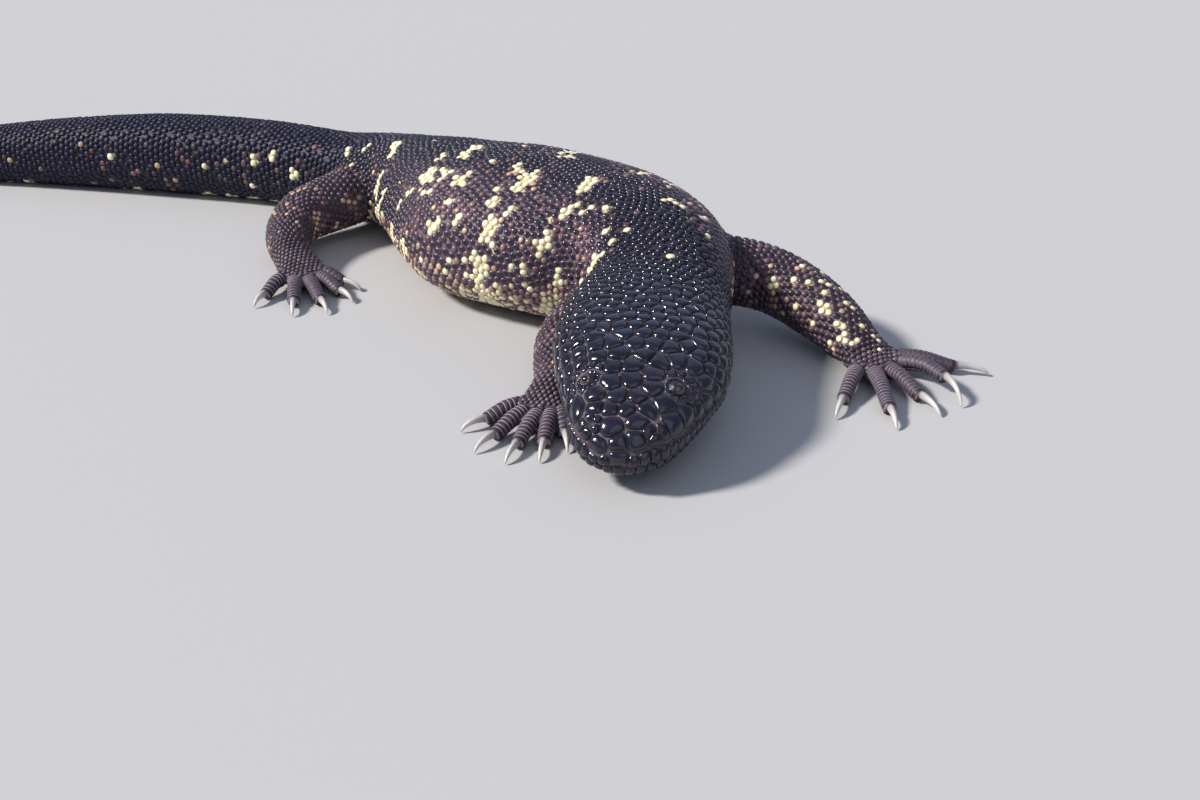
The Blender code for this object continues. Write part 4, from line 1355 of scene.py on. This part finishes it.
def bead_finish_for(name, darkest, dark, seam, net_seam, rough):
    """Horn over bone: a dark or brown or cream dome that pales or dulls toward its foot."""
    material, wire, shader = finish_for(name)
    dome = wire.attribute("dome")
    luck_here = wire.attribute("chance")
    cream_here = wire.attribute("cream")
    net_here = wire.attribute("net")
    brown_here = wire.attribute("brown")
    limb_here = wire.attribute("limb")
    pits = wire.noise(3600.0, 2.0)
    smears = wire.noise(900.0)
    horn = luck_here.mixed(darkest, dark)
    horn = (limb_here * 0.5).mixed(horn, LIMB_HORN)
    horn = wire.attribute("hand").mixed(horn, luck_here.mixed(*HAND_HORN))
    horn = brown_here.between(0.12, 0.62).mixed(horn, luck_here.mixed(*BROWN_HORN))
    horn = brown_here.between(0.66, 0.95).mixed(horn, luck_here.mixed(*TAN_HORN))
    foot = 1 - (dome - 0.34 * net_here).between(0.06, 0.58)
    horn = foot.mixed(horn, net_here.mixed(seam, net_seam))
    pale = (smears.between(0.55, 0.72) * 0.25).mixed(luck_here.mixed(*CREAM_HORN), CREAM_SMEAR)
    pale_foot = (1 - dome.between(0.15, 0.8)) * (0.18 + 0.62 * limb_here)
    horn = cream_here.mixed(horn, pale_foot.mixed(pale, CREAM_FOOT))
    roughness = rough + 0.12 * pits - 0.17 * wire.attribute("shine") + 0.08 * cream_here
    plug(shader, Base_Color=horn, Roughness=roughness, Normal=pits.relief(0.18, 0.0002))
    return material


# Half a bead's length and half its width: the middle of its reaches ahead and back, and both sides.
quarters = np.array([0.0, 0.5, 1.0, 1.5]) * math.pi
most = 0.66 * gaps
bead_reach = reach_of(places, facing, along, across, gaps, quarters, power=5.0, most=most)
bead_reach = (bead_reach[:, :2] + bead_reach[:, 2:]) * 0.5
BEAD_TALLEST = 1.25
bead_shape = unit_scale("bead", ((1.0, -0.3), (0.98, 0.22), (0.81, 0.66), (0.45, 0.93)), 2.0, 10)
bead_finish = bead_finish_for(
    "beads of back and limbs",
    darkest=(0.0070, 0.0066, 0.0165),
    dark=(0.0175, 0.0145, 0.0320),
    seam=(0.034, 0.027, 0.046),
    net_seam=(0.155, 0.100, 0.132),
    rough=0.29,
)
on_body = marks[:, 0] == PART_BODY
belly = on_body & (places[:, 2] < 3.6) & (marks[:, 1] > 112.0) & (marks[:, 1] < 330.0)
bodily = on_body & ~on_head & ~belly


TAIL_START = 335.0


def band(first, last):
    """The beads of the body between two lengths from the snout."""
    return bodily & (marks[:, 1] >= first) & (marks[:, 1] < last)


bands = {
    "beads_shoulders": band(0.0, 185.0),
    "beads_midback": band(185.0, 255.0),
    "beads_loins": band(255.0, TAIL_START),
    "beads_forelimbs": (marks[:, 0] == 1) | (marks[:, 0] == 2),
    "beads_hindlimbs": (marks[:, 0] == 3) | (marks[:, 0] == 4),
}
for seed, (name, chosen) in enumerate(bands.items()):
    rows = np.nonzero(chosen)[0]
    heights = np.minimum(0.36 * gaps[rows], BEAD_TALLEST) * (1.0 - 0.3 * is_cream[rows])
    lay_scales(name, rows, bead_shape, bead_finish, seed, heights)

# Tail scales. The same bony grains stand in rings round the tail, squarer and flatter than the beads
# and nearly black. They are laid in two lengths with the same nodes as the beads.
TAIL_TALLEST = 0.95
tail_shape = unit_scale("tail scale", ((1.0, -0.3), (0.98, 0.2), (0.84, 0.66), (0.5, 0.95)), 2.7)
tail_finish = bead_finish_for(
    "ringed tail scales",
    darkest=(0.0040, 0.0044, 0.0180),
    dark=(0.0100, 0.0088, 0.0340),
    seam=(0.014, 0.012, 0.034),
    net_seam=(0.055, 0.036, 0.055),
    rough=0.42,
)
plug(tail_finish.node_tree.nodes["Principled BSDF"], Specular_IOR_Level=0.32)
tail_bands = {
    "tail_scales_base": band(TAIL_START, 440.0),
    "tail_scales_tip": band(440.0, BODY_LENGTH + 10.0),
}
for seed, (name, chosen) in enumerate(tail_bands.items()):
    rows = np.nonzero(chosen)[0]
    heights = np.minimum(0.30 * gaps[rows], TAIL_TALLEST)
    lay_scales(name, rows, tail_shape, tail_finish, 20 + seed, heights)

# Belly plates. Flat squarish plates of soft horn under the trunk, smoother than the back. They lie
# edge to edge on the ground side of the hide, all at one height and hardly tilted.
belly_shape = unit_scale("belly plate", ((1.0, -0.3), (0.99, 0.3), (0.88, 0.85), (0.55, 1.0)), 3.6)
BELLY_TALL = 0.7
rows = np.nonzero(belly)[0]
heights = np.full(len(rows), BELLY_TALL)
lay_scales("belly_plates", rows, belly_shape, bead_finish, 30, heights, 0.0, 0.04)
for shape in (bead_shape, tail_shape, belly_shape):
    bpy.data.objects.remove(shape, do_unlink=True)

# Toe scales. Each toe is wrapped in short overlapping rings, hard above and padded below, and the
# last one caps the root of the claw. Their free edges are worn pale.
def ring_scale(run, begin, finish, first_angle, last_angle, lifts, steps):
    """One curved scale over a toe: a closed sliver from begin to finish along the toe's run."""
    last = len(run) - 1
    grid = []
    for share, lift in lifts:
        at = np.clip(begin + (finish - begin) * share, 0.0, last + 0.7)
        row = [np.interp(at, np.arange(last + 1), run[:, k]) for k in range(5)]
        if at > last:
            row[:3] = run[-1, :3] + (run[-1, :3] - run[-2, :3]) * (at - last)
        grid.append(row + [lift])
    grid = np.array(grid)
    ahead = unit(run[min(int(begin) + 1, last), :3] - run[min(int(begin), last - 1), :3])
    side = unit(np.cross(ahead, (0.0, 0.0, 1.0)))
    up = np.cross(side, ahead)
    angles = np.linspace(first_angle, last_angle, steps)
    fade = np.sin(np.linspace(0.0, math.pi, steps)) ** 0.25
    points = []
    for angle, thin in zip(angles, fade):
        for x, y, z, wide, tall, lift in grid:
            out = lift if lift < -0.4 else -0.4 + (lift + 0.4) * thin
            point = np.array([x, y, z]) + side * (wide + out) * math.cos(angle)
            points.append(point + up * (tall + out) * math.sin(angle))
    return np.array(points)


# Sections of the scales, each place a share of its length and a lift off the toe, in mm: a ring, with
# how pale each place is, the cap before the claw, and a pad of the sole.
RING_LIFTS = (
    (0.0, -0.85), (0.02, -0.17), (0.3, -0.05), (0.75, 0.01), (1.04, 0.05), (1.09, -0.12), (1.02, -0.85),
)
RING_EDGES = (0.1, 0.15, 0.0, 0.0, 1.0, 1.0, 0.3)
CAP_LIFTS = (
    (0.0, -0.85), (0.02, -0.17), (0.3, -0.02), (0.7, -0.12), (1.0, -0.55), (1.15, -1.15), (1.0, -1.7),
)
PAD_LIFTS = ((0.0, -0.85), (0.05, -0.4), (0.45, -0.1), (0.85, -0.1), (1.0, -0.35), (0.95, -0.85))
# Where the first ring begins and how long each is, in mm, and the step of the toe where the last ends.
FIRST_RING, RING_PITCH, LAST_STEP = 4.2, 1.75, 23.6
toe_points = []
toe_faces = []
toe_edge = []
toe_root = []
toe_patch = []
toe_cap = []
for limb_number, limb in enumerate(LIMBS):
    for number in range(5):
        run = toe_run(limb, number)
        long = TOES[limb][number][3]
        first_ring = TOE_STEPS * FIRST_RING / long
        count = max(int(round((LAST_STEP - first_ring) * long / TOE_STEPS / RING_PITCH)), 4)
        pitch = (LAST_STEP - first_ring) / count
        for j in range(count):
            begin = first_ring + j * pitch
            cap = j == count - 1
            above = CAP_LIFTS if cap else RING_LIFTS
            rings = [(begin, begin + pitch * (1.3 if cap else 1.0), -0.35, math.pi + 0.35, above, 13)]
            rings.append((begin, begin + pitch * 0.9, math.pi + 0.5, 2.0 * math.pi - 0.5, PAD_LIFTS, 8))
            for k, (one, two, first, last, lifts, steps) in enumerate(rings):
                block = ring_scale(run, one, two, first, last, lifts, steps)
                start = sum(len(done) for done in toe_points)
                columns = len(lifts)
                toe_points.append(block)
                toe_faces += grid_faces(steps, columns, start)
                toe_edge += list(RING_EDGES if k == 0 else (0.0,) * columns) * steps
                toe_cap += [1.0 if cap and k == 0 else 0.0] * len(block)
                root = (0.03 + 0.046 * (limb_number * 5 + number), 0.72 + 0.016 * j + 0.008 * k, 0.0)
                toe_root += [root] * len(block)
                spread = np.linspace(-1.0, 1.0, steps)
                lie = np.linspace(-1.0, 1.0, columns)
                toe_patch += [(a, b, 0.0) for a in spread for b in lie]
toe_points = np.concatenate(toe_points)
toe_points[:, 2] = np.maximum(toe_points[:, 2], SCALE_LOW)
toe_scales = mesh_object("toe_scales", toe_points, toe_faces)
face_outward(toe_scales.data)
give(toe_scales.data, "edge", toe_edge)
give(toe_scales.data, "cap", toe_cap)
give(toe_scales.data, "patch", toe_patch, "FLOAT_VECTOR")
give(toe_scales.data, "root", toe_root, "FLOAT_VECTOR")
bake_map(toe_scales.data)
toe_scales.data.shade_smooth()
TOE_DARK = (0.030, 0.021, 0.034)
TOE_SMEAR = (0.082, 0.057, 0.082)
TOE_CAP = (0.020, 0.014, 0.020)
TOE_EDGE = (0.36, 0.28, 0.33)
toe_finish, wire, shader = finish_for("ringed toe scales")
pits = wire.noise(3600.0, 2.0)
horn = wire.noise(700.0).between(0.3, 0.75).mixed(TOE_DARK, TOE_SMEAR)
horn = (wire.attribute("cap") * 0.9).mixed(horn, TOE_CAP)
horn = (wire.attribute("edge") ** 2.5 * 0.7).mixed(horn, TOE_EDGE)
plug(shader, Base_Color=horn, Roughness=0.42 + 0.15 * pits, Normal=pits.relief(0.25, 0.0002))
toe_scales.data.materials.append(toe_finish)
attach(toe_scales, "root")

# Claws. Long digging claws of pale horn, curved down, narrow from side to side, with a groove
# beneath. Each grows from under the cap of its toe.
CLAW_STEPS = 24
CLAW_SIDES = 14
# Where a claw starts over its toe's tip and ends over the ground, and its radii at both ends, in mm.
CLAW_START, CLAW_END, CLAW_ROOT_RADIUS, CLAW_TIP_RADIUS = 0.9, 0.6, 1.85, 0.28
CLAW_WIDE, CLAW_BEND = 0.80, 1.2
claw_points = []
claw_faces = []
claw_along = []
for limb in LIMBS:
    for number in range(5):
        run = toe_run(limb, number)
        tip = run[-1, :3]
        turn = TOES[limb][number][2] + (HIGH_TOE_TURN if (limb, number) == HIGH_TOE else 0.0)
        turn = math.radians(turn)
        ground = np.array([math.cos(turn), math.sin(turn), 0.0])
        base = tip[2] + CLAW_START
        drop = base - CLAW_END
        reach_out = math.sqrt(max(TOES[limb][number][4] ** 2 - drop**2, 9.0))
        t = np.linspace(-0.12, 1.0, CLAW_STEPS)
        ahead = reach_out * np.sin(t * CLAW_BEND) / math.sin(CLAW_BEND)
        sink = drop * np.maximum(t, 0.0) ** 2.2 - 1.6 * t * (1.0 - t)
        middles = tip + ground * (ahead + 0.3)[:, None]
        middles[:, 2] = base - sink
        radius = CLAW_ROOT_RADIUS * np.clip(1.0 - t, 0.0, 1.0) ** 0.8
        radius = radius + CLAW_TIP_RADIUS * np.maximum(t, 0.0)
        _, side, up = tube_frame(middles)
        block = []
        for angle in ring_angles(CLAW_SIDES):
            under = max(-math.sin(angle), 0.0)
            groove = 1.0 - 0.32 * swell(angle - 1.5 * math.pi, 0.35)
            wide = CLAW_WIDE * math.cos(angle) * (1.0 - 0.12 * under)
            tall = math.sin(angle) * (1.0 - 0.12 * under)
            block.append(middles + (side * wide + up * tall) * (radius * groove)[:, None])
        block = np.stack(block, axis=1)
        start = sum(len(done) for done in claw_points)
        claw_points.append(block.reshape(-1, 3))
        claw_faces += grid_faces(CLAW_STEPS, CLAW_SIDES, start)
        claw_along += np.repeat(np.clip(t, 0.0, 1.0), CLAW_SIDES).tolist()
claw_points = np.concatenate(claw_points)
claw_points[:, 2] = np.maximum(claw_points[:, 2], SCALE_LOW)
claws = mesh_object("claws", claw_points, claw_faces)
face_outward(claws.data)
give(claws.data, "toward_tip", claw_along)
claws.data.shade_smooth()
CLAW_GREY = (0.36, 0.33, 0.33)
CLAW_PALE = (0.60, 0.57, 0.53)
CLAW_STREAK = (0.26, 0.20, 0.18)
CLAW_ROOT = (0.09, 0.06, 0.065)
claw_finish, wire, shader = finish_for("pale claw horn")
toward_tip = wire.attribute("toward_tip")
streaks = wire.noise(1500.0, 4.0)
horn = toward_tip.between(0.0, 0.6).mixed(CLAW_GREY, CLAW_PALE)
horn = (streaks.between(0.5, 0.78) * 0.45).mixed(horn, CLAW_STREAK)
horn = (1 - toward_tip.between(0.0, 0.10)).mixed(horn, CLAW_ROOT)
rough = 0.28 + 0.15 * streaks
plug(shader, Base_Color=horn, Roughness=rough, Normal=streaks.relief(0.2, 0.0002))
claws.data.materials.append(claw_finish)
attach(claws, "root")
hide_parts(*[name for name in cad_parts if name.startswith("claw")])

# Floor, light and camera: a plain pale floor, soft light with its strongest part on the left, a
# little in front of the animal, and a camera that looks down at it from in front.
FAR = 25.0
corners = [(x, y, 0.0) for x, y in ((-FAR, -FAR), (FAR, -FAR), (FAR, FAR), (-FAR, FAR))]
floor = bpy.data.objects.new("floor", bpy.data.meshes.new("floor"))
floor.data.from_pydata(corners, [], [(0, 1, 2, 3)])
bpy.context.scene.collection.objects.link(floor)
floor_finish, _, shader = finish_for("pale floor")
plug(shader, Base_Color=(0.46, 0.452, 0.45, 1.0), Roughness=0.8)
floor.data.materials.append(floor_finish)

world = bpy.data.worlds.new("studio")
bpy.context.scene.world = world
world.use_nodes = True
plug(world.node_tree.nodes["Background"], Color=(0.62, 0.73, 1.0, 1.0), Strength=0.33)


def lamp(name, toward, width, power, colour):
    """Light that falls evenly along one way, with soft edges to its shadows."""
    light = bpy.data.lights.new(name, "SUN")
    light.angle = math.radians(width)
    light.energy = power
    light.color = colour
    thing = bpy.data.objects.new(name, light)
    thing.rotation_euler = Vector(toward).to_track_quat("-Z", "Y").to_euler()
    bpy.context.scene.collection.objects.link(thing)


lamp("key", (1.0, 0.10, -0.84), 9.0, 5.1, (1.0, 0.965, 0.925))
lamp("fill", (-0.5, 1.3, -1.2), 60.0, 0.45, (0.86, 0.90, 1.0))
lamp("sheen", (-0.3, -1.0, -0.75), 70.0, 0.36, (0.60, 0.74, 1.0))

# The plain transform keeps the cream of the beads as strong as it is in daylight.
bpy.context.scene.view_settings.view_transform = "Standard"
camera = bpy.data.objects.new("camera", bpy.data.cameras.new("camera"))
camera.data.lens = 50.0
camera.data.sensor_width = 36.0
# It stands 28 cm over the origin that the pose was laid out from, and looks down 26 degrees.
camera.location = (0.13035, -0.68965, 0.280)
camera.rotation_euler = (math.radians(64.0), 0.0, 0.0)
bpy.context.scene.collection.objects.link(camera)
bpy.context.scene.camera = camera
